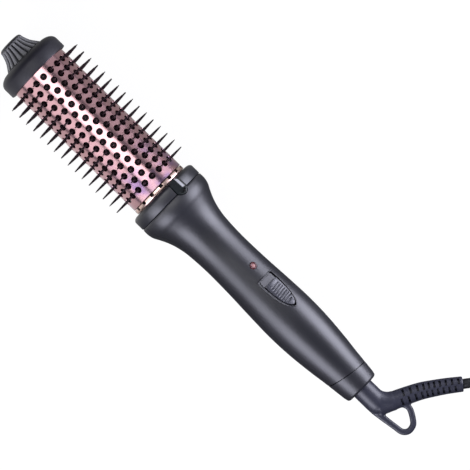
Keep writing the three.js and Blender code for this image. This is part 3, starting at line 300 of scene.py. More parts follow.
def turn_outwards(mesh):
    """Makes points that lie together one, and turns the faces of a closed mesh outwards."""
    work = bmesh.new()
    work.from_mesh(mesh)
    bmesh.ops.remove_doubles(work, verts=work.verts, dist=1e-5)
    bmesh.ops.recalc_face_normals(work, faces=work.faces)
    work.to_mesh(mesh)
    work.free()


def from_points(name, points, faces, **shares):
    """A closed mesh with its faces turned outwards; shares are numbers stored with its points."""
    mesh = bpy.data.meshes.new(name)
    mesh.from_pydata([tuple(p) for p in points], [], faces)
    for label, values in shares.items():
        mesh.attributes.new(label, "FLOAT", "POINT").data.foreach_set("value", values)
    turn_outwards(mesh)
    return add_object(name, mesh)


def skin(rings, count, closed=False, open_rings=False):
    """Faces between rings of count points each; closed joins the last ring to the first."""
    faces = []
    for i in range(rings if closed else rings - 1):
        a, b = i * count, (i + 1) % rings * count
        for k in range(count - 1 if open_rings else count):
            n = (k + 1) % count
            faces.append([a + k, a + n, b + n, b + k])
    return faces


def ends(rings, count):
    """The faces that close the first and the last ring."""
    return [list(range(count)), [(rings - 1) * count + k for k in range(count)]]


def settle(thing):
    """Makes what the modifiers give the piece's own plain mesh, and removes them."""
    graph = bpy.context.evaluated_depsgraph_get()
    made = bpy.data.meshes.new_from_object(thing.evaluated_get(graph))
    thing.modifiers.clear()
    old, thing.data = thing.data, made
    bpy.data.meshes.remove(old)
    return thing


def cut(thing, tools, how="DIFFERENCE", solver="EXACT"):
    """Cuts, joins or keeps what is common with each tool, which is then removed."""
    for tool in tools:
        step = thing.modifiers.new("cut", "BOOLEAN")
        step.operation, step.solver, step.object = how, solver, tool
    settle(thing)
    for tool in tools:
        bpy.data.objects.remove(tool)
    return thing


def round_edges(thing, width, segments, sharpest=50.0):
    """Rounds the edges where the faces turn by more than an angle in degrees."""
    step = thing.modifiers.new("edges", "BEVEL")
    step.width, step.segments = width, segments
    step.limit_method, step.angle_limit = "ANGLE", math.radians(sharpest)
    return settle(thing)


def line(points, per=6):
    """A smooth line through points of two or three numbers."""
    before = [2 * a - b for a, b in zip(points[0], points[1])]
    after = [2 * a - b for a, b in zip(points[-1], points[-2])]
    held = [before, *points, after]
    made = []
    for i in range(1, len(held) - 2):
        for k in range(per):
            t = k / per
            made.append([
                0.5 * (2 * b + (c - a) * t + (2 * a - 5 * b + 4 * c - d) * t * t
                       + (3 * b - a - 3 * c + d) * t ** 3)
                for a, b, c, d in zip(*held[i - 1:i + 3])])
    made.append(list(points[-1]))
    return made


def eased(outline, radius, steps, keep=()):
    """A closed outline with its corners rounded, apart from the corners in keep."""
    made = []
    count = len(outline)
    for i, corner in enumerate(outline):
        before, after = Vector(outline[i - 1]), Vector(outline[(i + 1) % count])
        here = Vector(corner)
        a, b = before - here, after - here
        reach = min(radius, 0.45 * a.length, 0.45 * b.length)
        if i in keep or reach < 1e-4 or abs(a.normalized().dot(b.normalized()) + 1) < 0.02:
            made.append(tuple(here))
            continue
        start, end = here + a.normalized() * reach, here + b.normalized() * reach
        for k in range(steps + 1):
            t = k / steps
            made.append(tuple(start * (1 - t) ** 2 + here * 2 * t * (1 - t) + end * t * t))
    return made


def shoulder(front, foot, length, height, steps):
    """A quarter of an oval as (x, radius), which starts square to the axis and ends along it."""
    return [(front + length * (1 - math.cos(a)), foot + height * math.sin(a))
            for a in (math.pi / 2 * k / steps for k in range(steps + 1))]


def rod(low, high, radius):
    """Outline of a plain round rod or bore between two places on its axis."""
    return [(low, 0), (low, radius), (high, radius), (high, 0)]


def turned(name, outline, sides, start=0.0, sweep=360.0):
    """A solid turned about the axis from a closed outline of (x, radius)."""
    whole = sweep >= 360.0
    rings = sides if whole else sides + 1
    points, faces = [], []
    for i in range(rings):
        angle = math.radians(start + sweep * i / sides)
        points += [(x, r * math.sin(angle), r * math.cos(angle)) for x, r in outline]
    count = len(outline)
    for i in range(sides):
        a, b = i * count, (i + 1) % rings * count
        for k in range(count):
            n = (k + 1) % count
            # A point on the axis is shared by all the rings
            face = [a + k, a + n, *(b + p for p in (n, k) if outline[p][1] > 1e-6)]
            if len(face) > 2:
                faces.append(face)
    return from_points(name, points, faces if whole else faces + ends(rings, count))


def stood(name, outline, sides, x):
    """A solid turned about the line that stands square on the axis at x, from (height, radius)."""
    thing = turned(name, outline, sides)
    thing.data.transform(Matrix.Translation((x, 0, 0)) @ Matrix.Rotation(-math.pi / 2, 4, "Y"))
    return thing


def under(curve):
    """What lies under a curve of (x, radius) all round the axis, to limit a raised piece."""
    return turned("limit", [(curve[0][0], 0), *curve, (curve[-1][0], 0)], 160)


def raised(name, outline, low, high, foot=None):
    """A plan outline of (x, y) raised from low to high; with a foot, the walls slope in to it."""
    points = [(x, y, low) for x, y in foot or outline] + [(x, y, high) for x, y in outline]
    return from_points(name, points, ends(2, len(outline)) + skin(2, len(outline)))


def block(name, low, high, ease=0.0):
    """A block between two corners, with its edges rounded by ease."""
    corners = [(low[0], low[1]), (high[0], low[1]), (high[0], high[1]), (low[0], high[1])]
    thing = raised(name, corners, low[2], high[2])
    return round_edges(thing, ease, 3) if ease else thing


def frames(points):
    """Places along a line, each with the two directions across it, without twist."""
    points = [Vector(p) for p in points]
    made = []
    across = None
    for i, point in enumerate(points):
        along = (points[min(i + 1, len(points) - 1)] - points[max(i - 1, 0)]).normalized()
        if across is None:
            across = along.cross(Vector((0, 0, 1)))
            if across.length < 1e-3:
                across = Vector((0, 1, 0))
        across = (across - along * across.dot(along)).normalized()
        made.append((point, across, along.cross(across)))
    return made


def swept(name, route, section):
    """A tube along a route; section(i, share) gives its ring as (across, up) pairs."""
    rings = len(route)
    points = []
    for i, (point, across, up) in enumerate(frames(route)):
        points += [point + across * u + up * v for u, v in section(i, i / (rings - 1))]
    count = len(points) // rings
    return from_points(name, points, skin(rings, count) + ends(rings, count))


def oval(wide, tall, sides, power=1.0):
    """A ring of (across, up) pairs; the smaller its power, the squarer it is."""
    ring = []
    for k in range(sides):
        c, s = math.cos(2 * math.pi * k / sides), math.sin(2 * math.pi * k / sides)
        ring.append((wide * math.copysign(abs(c) ** power, c), tall * math.copysign(abs(s) ** power, s)))
    return ring


def round_section(radius, sides):
    """A round section; radius is a number, or a function of the share of the way along."""
    def ring(_, share):
        r = radius(share) if callable(radius) else radius
        return oval(r, r, sides)
    return ring


def together(name, things):
    """One object from several."""
    work = bmesh.new()
    for thing in things:
        work.from_mesh(thing.data)
    mesh = bpy.data.meshes.new(name)
    work.to_mesh(mesh)
    work.free()
    for thing in things:
        bpy.data.objects.remove(thing)
    return add_object(name, mesh)


def dress(thing, material, nodes, body="brush", matrix=BRUSH, sharp=32.0):
    """Puts a piece in place in its mesh, gives it its finish, ties it to its body and hides the CAD nodes it
    stands for.
    """
    thing.data.transform(matrix)
    thing.data.shade_smooth()
    thing.data.set_sharp_from_angle(angle=math.radians(sharp))
    thing.data.materials.clear()
    thing.data.materials.append(material)
    thing.data.update()
    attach(thing, body)
    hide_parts(*nodes)
    return thing


# Camera

camera_data = bpy.data.cameras.new("camera")
camera_data.lens, camera_data.sensor_width = 391.4, 36.0
camera_data.clip_start, camera_data.clip_end = 0.05, 20.0
camera = add_object("camera", camera_data)
camera.location = (0.00684, 0.00298, 3.027)
camera.rotation_euler = (0.0, 0.0, math.radians(44.36))
bpy.context.scene.camera = camera


# Cord, its strap and its plug

CORD_RADIUS = 3.0
TIE_WIDTH, TIE_THICK, TIE_ROOM, TIE_GAP = 10.0, 0.84, 1.0, 0.3
COIL_CENTRE, COIL_MIDDLE = (431.0, 8.0), 36.0
COIL_TURNS, COIL_PITCH, COIL_RISE = 7.5, 6.6, 6.6
COIL_STEPS = 48
COIL_OUTER = COIL_MIDDLE + COIL_PITCH * COIL_TURNS / 4
COIL_BOTTOM = TIE_ROOM + TIE_GAP + CORD_RADIUS
RELIEF = [(14, -0.6), (16.1, 3.2), (20.5, 12.9), (25.3, 22.3), (29.7, 29), (34.6, 35.8), (40.4, 43.1)]
LEAD = [(4, 5, 0), (12, 13, -4), (26, 18.3, -13), (46, 18, -21), (66, 15.8, -23.4)]
PLUG_ENTRY, PLUG_LENGTH, PLUG_HEIGHT = (390.0, -36.0), 32.0, 19.6
SQUARED = 0.55


def coil_route():
    """In along the lower layer, up, and out along the upper one."""
    half = COIL_TURNS / 2
    count = round(COIL_TURNS * COIL_STEPS)
    made = []
    for i in range(count + 1):
        turn = COIL_TURNS * i / count
        radius = COIL_OUTER - COIL_PITCH * (turn if turn < half else COIL_TURNS - turn)
        climb = min(max((turn - half + 0.25) / 0.5, 0.0), 1.0)
        angle = 2 * math.pi * turn
        made.append((COIL_CENTRE[0] + radius * math.sin(angle), COIL_CENTRE[1] + radius * math.cos(angle),
                     COIL_BOTTOM + COIL_RISE * climb))
    return made


def cord_route():
    """From the boot's end round the coil to the plug, over the floor."""
    axis = AXIS_Z / MM
    relief = line([(TAIL_REAR + x, y) for x, y in RELIEF], 8)
    end, before = Vector((*relief[-1], axis)), Vector((*relief[-2], axis))
    buried, ahead = 3.0, Vector((6, 0, 0))
    start = end - (end - before).normalized() * buried
    lead = [end + Vector(p) for p in LEAD]
    coil = coil_route()
    first, last = Vector(coil[0]), Vector(coil[-1])
    entry = Vector((*PLUG_ENTRY, PLUG_HEIGHT / 2))
    front = line([start, end, *lead, first - 2 * ahead, first - ahead])
    rear = line([last - ahead, entry + Vector((8, 0, 0)), entry - Vector((1, 0, 0))])
    return front + coil + rear


def tie_piece():
    """A hook-and-loop strap round the coil's turns."""
    x, y = COIL_CENTRE
    inner = x + COIL_OUTER - COIL_PITCH * (COIL_TURNS / 2 + 0.5) - CORD_RADIUS - 2 * TIE_GAP
    outer = x + COIL_OUTER + CORD_RADIUS + TIE_GAP
    top = COIL_BOTTOM + COIL_RISE + CORD_RADIUS + TIE_GAP
    aside, bend = TIE_ROOM / 2, 3.2
    left, right, low, high = inner - aside, outer + aside, aside + 0.01, top + aside - 0.01
    path = eased([(left, low), (right, low), (right, high), (left, high)], bend, 6)
    half, lift = TIE_WIDTH / 2, TIE_THICK / 2
    points = []
    for i, (px, pz) in enumerate(path):
        before, after = path[i - 1], path[(i + 1) % len(path)]
        out = Vector((after[1] - before[1], before[0] - after[0])).normalized()
        for across, up in ((-half, -lift), (half, -lift), (half, lift), (-half, lift)):
            points.append((px + out.x * up, y + across, pz + out.y * up))
    return from_points("coil_strap", points, skin(len(path), 4, closed=True))


def plug_piece():
    """A moulded two-blade plug with grip ribs on both sides and a stepped relief for the cord."""
    x, y = PLUG_ENTRY
    # Places from the cord's entry, each with half the width and half the height there
    stations = [(0.0, 3.9, 3.9), (-4.0, 4.6, 4.4), (-7.5, 7.2, 6.4), (-11.0, 10.2, 8.8), (-15.0, 10.9, 9.6),
                (-29.0, 10.9, 9.6), (-31.2, 10.7, 9.4), (-32.0, 10.0, 8.7)]
    smooth = line(stations, 3)
    body = swept("plug", [(x + s[0], y, PLUG_HEIGHT / 2) for s in smooth],
                 lambda i, _: oval(smooth[i][1], smooth[i][2], 40, SQUARED))
    count, first, pitch, width, margin = 6, x - 26, 2.4, 1.1, 2.5
    bottom, outside = 10.1, 14
    grooves = []
    for side in (-1, 1):
        near, far = sorted((y + side * bottom, y + side * outside))
        for i in range(count):
            front = first + pitch * i
            high = (front + width, far, PLUG_HEIGHT - margin)
            grooves.append(block("groove", (front, near, margin), high))
    return cut(body, [together("grooves", grooves)])


def blade_piece(name, side):
    """A flat blade with a rounded tip and a hole near it."""
    face = PLUG_ENTRY[0] - PLUG_LENGTH
    half, apart, thick = 6.3 / 2, 12.7, 1.44
    root, tip, tip_radius = face + 5, face - 15.9, 2.2
    hole, hole_radius = face - 11.7, 1.6
    outline = eased([(root, -half), (root, half), (tip, half), (tip, -half)], tip_radius, 5, keep=(0, 1))
    thing = raised(name, outline, -thick / 2, thick / 2)
    cut(thing, [stood("hole", rod(-2, 2, hole_radius), 20, hole)])
    place = Matrix.Translation((0, PLUG_ENTRY[1] + side * apart / 2, PLUG_HEIGHT / 2))
    thing.data.transform(place @ Matrix.Rotation(math.pi / 2, 4, "X"))
    return thing


cord_line = cord_route()
cord = swept("mains_cord", cord_line, round_section(CORD_RADIUS, 20))
dress(cord, CORD_BLACK, ["cord_lead", "cord_coil", "cord_tail"], "cord", FLOOR, sharp=60)
tie = dress(tie_piece(), STRAP, ["cord_tie"], "cord", FLOOR)
plug = dress(plug_piece(), CORD_BLACK, ["plug_body"], "cord", FLOOR)
blades = [dress(blade_piece("plug_blade_a", 1), BRASS, ["plug_blade_left"], "cord", FLOOR),
          dress(blade_piece("plug_blade_b", -1), BRASS, ["plug_blade_right"], "cord", FLOOR)]


# What repeats, by geometry nodes

GRID_INPUTS = [("Geometry", "Geometry", None), ("Rows", "Int", 1), ("Row Pitch", "Float", 1.0),
               ("Columns", "Int", 1), ("Column Angle", "Float", 0.0), ("Stagger", "Float", 0.0),
               ("Material", "Material", None)]


def grid_group(name, more=()):
    return new_group(name, "GeometryNodeTree", [*GRID_INPUTS, *more], [("Geometry", "Geometry")])


def in_line(tree, count, step):
    """Points in a straight line, a step apart."""
    return put(tree, "GeometryNodeMeshLine", {"Count": count, "Offset": step}).outputs[0]


def staggered_rows(tree, given):
    """A point for each row along the axis, and the lean of every second one."""
    parity = arithmetic(tree, "MODULO", put(tree, "GeometryNodeInputIndex").outputs[0], 2.0)
    lean = arithmetic(tree, "MULTIPLY", arithmetic(tree, "SUBTRACT", 1.0, parity), given["Stagger"])
    return in_line(tree, given["Rows"], vector_of(tree, X=given["Row Pitch"])), lean


def copies(tree, points, shape, **more):
    """Real copies of a shape, one at each point."""
    placed = put(tree, "GeometryNodeInstanceOnPoints", {"Points": points, "Instance": shape, **more})
    return put(tree, "GeometryNodeRealizeInstances", {0: placed.outputs[0]}).outputs[0]


def painted(tree, given, result, shape):
    """Ends a group with a shape in the finish that was given."""
    made = put(tree, "GeometryNodeSetMaterial", {0: shape, "Material": given["Material"]})
    return end_group(tree, result, made.outputs[0])


def rows_tree():
    """Copies a shape in rows along the axis and columns round it, with every second row turned."""
    tree, given, result = grid_group("rows round the axis")
    rows, lean = staggered_rows(tree, given)
    column = copies(tree, rows, given["Geometry"], Rotation=vector_of(tree, X=lean))
    spokes = in_line(tree, given["Columns"], (0.0, 0.0, 0.0))
    spoke = put(tree, "GeometryNodeInputIndex").outputs[0]
    turn = vector_of(tree, X=arithmetic(tree, "MULTIPLY", spoke, given["Column Angle"]))
    return painted(tree, given, result, copies(tree, spokes, column, Rotation=turn))


def rolled_tree():
    """Repeats a flat tile over a sheet with its plain ends, and rolls the sheet into a tube.
    Along the flat tile, X runs along the axis, Y is an angle and Z stands off the tube's radius."""
    tree, given, result = grid_group(
        "rolled perforated sheet", [("Radius", "Float", 1.0), ("Weld", "Float", 0.001)])
    plain = put(tree, "GeometryNodeInputNamedAttribute", {"Name": "plain_end"}, data_type="BOOLEAN")
    parts = put(tree, "GeometryNodeSeparateGeometry", {0: given["Geometry"], 1: plain.outputs["Attribute"]},
                domain="FACE")
    rows, lean = staggered_rows(tree, given)
    moved = put(tree, "GeometryNodeSetPosition", {0: rows, "Offset": vector_of(tree, Y=lean)})
    tiles = put(tree, "GeometryNodeInstanceOnPoints", {
        "Points": moved.outputs[0], "Instance": parts.outputs[1]})
    both = put(tree, "GeometryNodeJoinGeometry")
    for part in (tiles, parts):
        tree.links.new(part.outputs[0], both.inputs[0])
    column = put(tree, "GeometryNodeRealizeInstances", {0: both.outputs[0]})
    columns = in_line(tree, given["Columns"], vector_of(tree, Y=given["Column Angle"]))
    sheet = copies(tree, columns, column.outputs[0])
    at = parts_of(tree, put(tree, "GeometryNodeInputPosition").outputs[0])
    radius = arithmetic(tree, "ADD", at["Z"], given["Radius"])
    across, up = (arithmetic(tree, "MULTIPLY", radius, arithmetic(tree, how, at["Y"]))
                  for how in ("SINE", "COSINE"))
    around = vector_of(tree, X=at["X"], Y=across, Z=up)
    rolled = put(tree, "GeometryNodeSetPosition", {0: sheet, "Position": around})
    welded = put(tree, "GeometryNodeMergeByDistance", {0: rolled.outputs[0], "Distance": given["Weld"]})
    return painted(tree, given, result, welded.outputs[0])


def run_tree(thing, tree, **values):
    """Runs a geometry tree on a piece, with its inputs given by name, and keeps the plain mesh."""
    step = thing.modifiers.new(tree.name, "NODES")
    step.node_group = tree
    named = {item.name: item.identifier for item in tree.interface.items_tree if item.in_out == "INPUT"}
    for name, value in values.items():
        step[named[name.replace("_", " ").title()]] = value
    return settle(thing)


ROWS_TREE, ROLLED_TREE = rows_tree(), rolled_tree()
ROWS, COLUMNS, ROW_PITCH, FIRST_ROW = 16, 20, 5.71, 29.4
BARREL_RADIUS, BARREL_WALL = 19.0, 1.2
HALF_COLUMN = math.pi / COLUMNS
HOLES = {"rows": ROWS, "row_pitch": ROW_PITCH, "columns": COLUMNS, "column_angle": 2 * HALF_COLUMN,
         "stagger": HALF_COLUMN}


def barrel_piece():
    """A sheet of round holes with drawn-in rims, rolled into a tube, with plain ends."""
    corners = 16
    square = []
    for k in range(corners):
        side, place = divmod(k, 4)
        t = -1 + place / 2
        square.append([(t, -1), (1, t), (-t, 1), (-1, -t)][side])
    # Each ring of a tile: its radius, or None for the tile's edge, and its height over the outside
    rings = [(None, 0.0), (2.3, 0.0), (2.1, 0.0), (1.98, -0.12), (1.95, -0.3), (1.95, -BARREL_WALL),
             (None, -BARREL_WALL)]
    points = []
    for radius, height in rings:
        for u, v in square:
            along, around = u * ROW_PITCH / 2, v * HALF_COLUMN
            if radius is not None:
                angle = math.atan2(v, u)
                along, around = radius * math.cos(angle), radius * math.sin(angle) / BARREL_RADIUS
            points.append((FIRST_ROW + along, around, height))
    faces = skin(len(rings), corners)
    tile_faces = len(faces)

    steps, edge = 4, 0.3

    def plain_end(tiles, end, inwards):
        """Outline from the outer edge of the tiles round the barrel's end to their inner edge."""
        return [(tiles, 0), (end + inwards, 0), (end, -edge), (end, -BARREL_WALL), (tiles, -BARREL_WALL)]

    front = plain_end(FIRST_ROW - ROW_PITCH / 2, BARREL_FRONT, edge)
    rear = plain_end(FIRST_ROW + ROW_PITCH * (ROWS - 0.5), BARREL_REAR, -edge)
    for outline in (front, rear[::-1]):
        base = len(points)
        for x, height in outline:
            points += [(x, HALF_COLUMN * (-1 + 2 * k / steps), height) for k in range(steps + 1)]
        faces += [[base + p for p in face] for face in skin(len(outline), steps + 1, open_rings=True)]

    mesh = bpy.data.meshes.new("barrel_sleeve")
    mesh.from_pydata(points, [], faces)
    flags = mesh.attributes.new("plain_end", "BOOLEAN", "FACE")
    flags.data.foreach_set("value", [i >= tile_faces for i in range(len(faces))])
    thing = add_object("barrel_sleeve", mesh)
    run_tree(thing, ROLLED_TREE, radius=BARREL_RADIUS, weld=0.002, material=ROSE_METAL, **HOLES)
    turn_outwards(thing.data)
    return thing


def bristles_piece():
    """Tapered bristles on four moulded strips; the lowest ones are trimmed level with the floor."""
    root, sides = 15.2, 8
    taper = [(root, 0.85), (root + 3.0, 0.82), (22.3, 0.66), (26.2, 0.36), (27.15, 0.26), (27.45, 0.12)]
    points = []
    for height, radius in taper:
        for k in range(sides):
            angle = 2 * math.pi * (k + 0.5) / sides
            points.append((FIRST_ROW + radius * math.cos(angle), radius * math.sin(angle), height))
    bristle = from_points("bristles", points, skin(len(taper), sides) + ends(len(taper), sides))
    run_tree(bristle, ROWS_TREE, material=NYLON, **HOLES)
    front, rear, inner, outer = 21.6, 118.6, 14.18, 16.38
    outline = eased([(front, inner), (front, outer), (rear, outer), (rear, inner)], 0.4, 2)
    first, sweep = 4.8, 89.4
    strips = [turned("strip", outline, 20, start=90 * i + first, sweep=sweep) for i in range(4)]
    made = together("bristle_strips", [bristle, *strips])
    lowest, back = 0.00002, BRUSH.inverted()
    for vertex in made.data.vertices:
        placed = BRUSH @ vertex.co
        if placed.z < lowest:
            placed.z = lowest
            vertex.co = back @ placed
    return made


dress(barrel_piece(), ROSE_METAL, ["barrel"], sharp=40)
dress(bristles_piece(), NYLON, ["bristle_strip_" + i for i in "1234"], sharp=50)


# Nose and cap

def nose_piece():
    """A fluted nose: a plain rounded rim, then narrow grooves that widen into ribs towards the cap."""
    ribs, around, depth, rear = 20, 240, 1.15, 12.3
    plain, blend, full = 1.4, 1.6, 8.0
    edge = [(0.0, 0.0), (0.03, 2.6), (0.12, 5.2), (0.28, 6.5), (0.6, 7.3), (1.05, 7.8), (1.6, 8.1)]
    side = line([(1.6, 8.1), (3.8, 8.6), (7.4, 10.0), (10.4, 12.0), (rear, 13.4)])
    spigot, spigot_rear, hollow, hollow_front = 11.0, 17.2, 9.7, 11.4
    outline = edge + side[1:] + [(rear, spigot), (spigot_rear, spigot), (spigot_rear, hollow),
                                 (hollow_front, hollow), (hollow_front, 0.0)]
    points, lit_rib_shares = [], []
    for i in range(around):
        angle = 2 * math.pi * i / around
        groove = (0.5 - 0.5 * math.cos(ribs * angle)) ** 2.2
        for x, r in outline:
            share = min(max((x - plain) / blend, 0.0), 1.0) if x <= rear and r > full else 0.0
            share = share * share * (3 - 2 * share)
            r -= depth * share * groove
            points.append((x, r * math.sin(angle), r * math.cos(angle)))
            # Share of painted sheen: full on the rib tops, none in the grooves (painted shade) or on the
            # plain end
            lit_rib_shares.append(share * max(0.0, 1 - 1.25 * groove))
    return from_points("nose", points, skin(around, len(outline), closed=True, open_rings=True), rib=lit_rib_shares)


def cap_piece():
    """The band between nose and barrel, with a full round shoulder."""
    hollow, bore = 11.4, 19.3
    outline = [(CAP_WEB, 0.0), (CAP_WEB, hollow), (CAP_FRONT + 0.3, hollow), (CAP_FRONT, 11.7),
               *shoulder(CAP_FRONT, 13.8, 5.4, 7.7, 12),
               (CAP_REAR - 0.6, 21.5), (CAP_REAR - 0.2, 21.35), (CAP_REAR, 20.9), (CAP_REAR, 19.6),
               (CAP_REAR - 0.3, bore), (WEB_REAR, bore), (WEB_REAR, 0.0)]
    screw_radius, screw_aside = 1.8, 6.5
    holes = []
    for side in (-1, 1):
        hole = turned("bore", rod(10, 30, screw_radius), 16)
        hole.data.transform(Matrix.Translation((0, 0, side * screw_aside)))
        holes.append(hole)
    return cut(turned("front_band", outline, 128), holes)


dress(nose_piece(), RIB_GREY_AND_SHEEN, ["tip_nose"], sharp=38)
dress(cap_piece(), MATT_BLACK, ["front_cap"])


# End ring, collar and ion outlet

def ring_piece():
    """The peach ring behind the barrel, with slots through its front edge."""
    inner, slots = 15.5, 16
    outline = eased([(RING_FRONT, inner), (RING_FRONT, BARREL_RADIUS), (RING_REAR, BARREL_RADIUS),
                     (RING_REAR, inner)], 0.25, 2)
    tool = block("slot", (RING_FRONT - 1, -1.2, 15), (RING_FRONT + 1.7, 1.2, 20))
    tool.data.transform(Matrix.Rotation(-math.radians(2.5), 4, "X"))
    run_tree(tool, ROWS_TREE, rows=1, columns=slots, column_angle=2 * math.pi / slots, material=PEACH_METAL)
    return cut(turned("barrel_end", outline, 128), [tool])


FLARE_RADIUS = 23.6     # the handle's, at its front
# Places behind the handle's front, then places before its rear end, each with the radius there
FLARE = [(0, FLARE_RADIUS), (4.1, FLARE_RADIUS), (7.6, 22.8), (11.3, 20.9), (16.6, 18.5), (22.3, 16.8),
         (29.6, 15.6), (43.6, 14.9)]
GRIP = [(82.4, 15.2), (65.4, 16), (47.4, 16.6), (31.4, 16.1), (15.4, 14.6), (5.4, 13.3), (-12.8, 11.3)]
HANDLE_LINE = line([(HANDLE_FRONT + x, r) for x, r in FLARE] + [(HANDLE_REAR - x, r) for x, r in GRIP])
OUTLET_REAR, OUTLET_RADIUS, OUTLET_ASIDE = COLLAR_FRONT + 10.9, 4.0, -1.4
OUTLET_FLOOR = 21.2
SHOULDER_LENGTH, SHOULDER_HEIGHT = 2.4, 3.4
ABOVE = 30     # over the surface of every piece, for tools that cut in from outside


def handle_radius(x):
    """The handle's outer radius at a place along the axis."""
    for (x0, r0), (x1, r1) in zip(HANDLE_LINE, HANDLE_LINE[1:]):
        if x0 <= x <= x1:
            return r0 + (r1 - r0) * (x - x0) / (x1 - x0)
    return HANDLE_LINE[0][1] if x < HANDLE_LINE[0][0] else HANDLE_LINE[-1][1]


def outlet_outline(grow, front=COLLAR_FRONT - 2):
    """Plan of the ion outlet: open in front, a little wider towards its round back."""
    centre = OUTLET_REAR - OUTLET_RADIUS
    radius = OUTLET_RADIUS + grow
    arc = [(centre + radius * math.cos(math.radians(a)), OUTLET_ASIDE + radius * math.sin(math.radians(a)))
           for a in range(-80, 81, 10)]
    half = radius - 0.06 * (centre - front)
    return [(front, OUTLET_ASIDE - half), *arc, (front, OUTLET_ASIDE + half)]


def notch():
    """The place for the ion outlet in the collar and the handle."""
    return raised("notch", outlet_outline(0.45), OUTLET_FLOOR, ABOVE)


def needle_hole():
    radius, behind = 0.8, 0.9
    return stood("needle hole", rod(17, FLARE_RADIUS, radius), 12, HANDLE_FRONT + behind)


def collar_piece():
    """The dark ring between the peach ring and the handle, with a round front shoulder."""
    front, rear, web = COLLAR_FRONT, COLLAR_REAR + 0.2, COLLAR_FRONT + 2.5
    bore, socket = 15.8, 21.4
    outline = [(front, 16.0), (front, bore), *shoulder(front, 20.2, SHOULDER_LENGTH, SHOULDER_HEIGHT, 8),
               (COLLAR_REAR - 0.35, FLARE_RADIUS), (COLLAR_REAR + 0.02, 23.4), (rear, 23.0), (rear, socket),
               (web, socket), (web, bore)]
    return cut(turned("collar", outline, 160), [notch()])


def outlet_piece():
    """A polished scoop set into the collar and handle, open in front, with a raised rim."""
    foot = 20.45
    over = [*shoulder(COLLAR_FRONT, foot, SHOULDER_LENGTH, SHOULDER_HEIGHT, 8),
            (HANDLE_FRONT + 6, foot + SHOULDER_HEIGHT)]
    body = raised("ion_window", outlet_outline(0), OUTLET_FLOOR + 0.05, ABOVE)
    cut(body, [under(over)], "INTERSECT")
    # The scoop's floor is higher on one side
    rim, slope, bottom, brim, lean, front = 0.45, 1.5, 22.0, 24.3, 0.24, COLLAR_FRONT - 3
    scoop = raised("scoop", outlet_outline(-rim, front), bottom, brim,
                   foot=outlet_outline(-rim - slope, front))
    for vertex in scoop.data.vertices:
        if vertex.co.z < bottom + 0.1:
            vertex.co.z += lean * (vertex.co.y - OUTLET_ASIDE)
    return round_edges(cut(body, [scoop, needle_hole()]), 0.16, 2)


dress(ring_piece(), PEACH_METAL, ["barrel_end_ring"])
dress(collar_piece(), SATIN_BLACK, ["collar_ring"])
dress(outlet_piece(), GLOSS_BLACK, ["ion_outlet"], sharp=9.5)


# Handle

SEAM_GAP = 0.06
RECESS_WIDTH, RECESS_DEPTH, GUTTER_WIDTH, GUTTER_DEPTH = 11.2, 1.9, 0.8, 0.85
RECESS_RADIUS = handle_radius(RECESS_FRONT + RECESS_LENGTH / 2)
RECESS_FLOOR = RECESS_RADIUS - RECESS_DEPTH
BEYOND = 60     # half the size of a tool that reaches past the handle


def behind_seam(offset, thick=80):
    """A slab whose front face lies on the slanted tail seam, moved along the axis by offset."""
    slope, turn = 0.2, math.radians(38)
    slab = block("behind", (0, -BEYOND, -BEYOND), (thick, BEYOND, BEYOND))
    for vertex in slab.data.vertices:
        lean = slope * (math.sin(turn) * vertex.co.y + math.cos(turn) * vertex.co.z)
        vertex.co.x += lean + HANDLE_REAR + offset
    return slab


def seam_groove():
    """A shallow groove along the tail seam, cut into both of its neighbours."""
    depth, width, reach = 1.1, 0.6, 9
    rim = [(x, r) for x, r in HANDLE_LINE if abs(x - HANDLE_REAR) < reach]
    ring = turned("groove", [(x, r - depth) for x, r in rim] + [(x, r + 1) for x, r in reversed(rim)], 180)
    return cut(ring, [behind_seam(-width / 2, width)], "INTERSECT")


def bullet(front, length, half_width):
    """Plan of the switch recess and slider: flat in front, closing to a round point."""
    steps, corner = 14, 0.9
    side = []
    for i in range(steps + 1):
        share = math.sin(math.pi / 2 * i / steps)
        side.append((front + length * share, half_width * max(1 - share ** 3, 0.0) ** 0.6))
    return eased(side + [(x, -y) for x, y in reversed(side[:-1])], corner, 4, keep=range(1, 2 * steps))


def recess_plan(grow=0.0):
    """Plan of the switch recess, grown to all sides."""
    return bullet(RECESS_FRONT - grow, RECESS_LENGTH + 2 * grow, RECESS_WIDTH / 2 + grow)


def shell_piece(name, side):
    """One half of the handle, with the edge towards the collar softened and a narrow gap at the parting
    line.
    """
    wall, bore = 2.2, 21.1
    face, front, step = HANDLE_FRONT, HANDLE_FRONT - 3, HANDLE_FRONT + 2
    outer = [(face, 23.0), (face + 0.18, 23.4), (face + 0.55, FLARE_RADIUS), *HANDLE_LINE[2:]]
    inner = [(x, r - wall) for x, r in reversed(HANDLE_LINE[::4]) if x > face + 3]
    lip = [(step, bore + 0.1), (step, bore - wall), (front, bore - wall), (front, bore), (face, bore)]
    low, high = sorted((side * 0.12, side * BEYOND))
    half = block("half", (HANDLE_FRONT - 20, -BEYOND, low), (TAIL_REAR + 40, BEYOND, high))
    shell = cut(turned(name, outer + inner + lip, 180), [half], "INTERSECT")
    return cut(shell, [behind_seam(-SEAM_GAP), seam_groove()])


def recess_block(name, front, rear, half_width, depth, high=RECESS_FLOOR + 1):
    """A block over the middle line, with its places from the recess's front and depth below its floor."""
    low = (RECESS_FRONT + front, -half_width, RECESS_FLOOR - depth)
    return block(name, low, (RECESS_FRONT + rear, half_width, high))


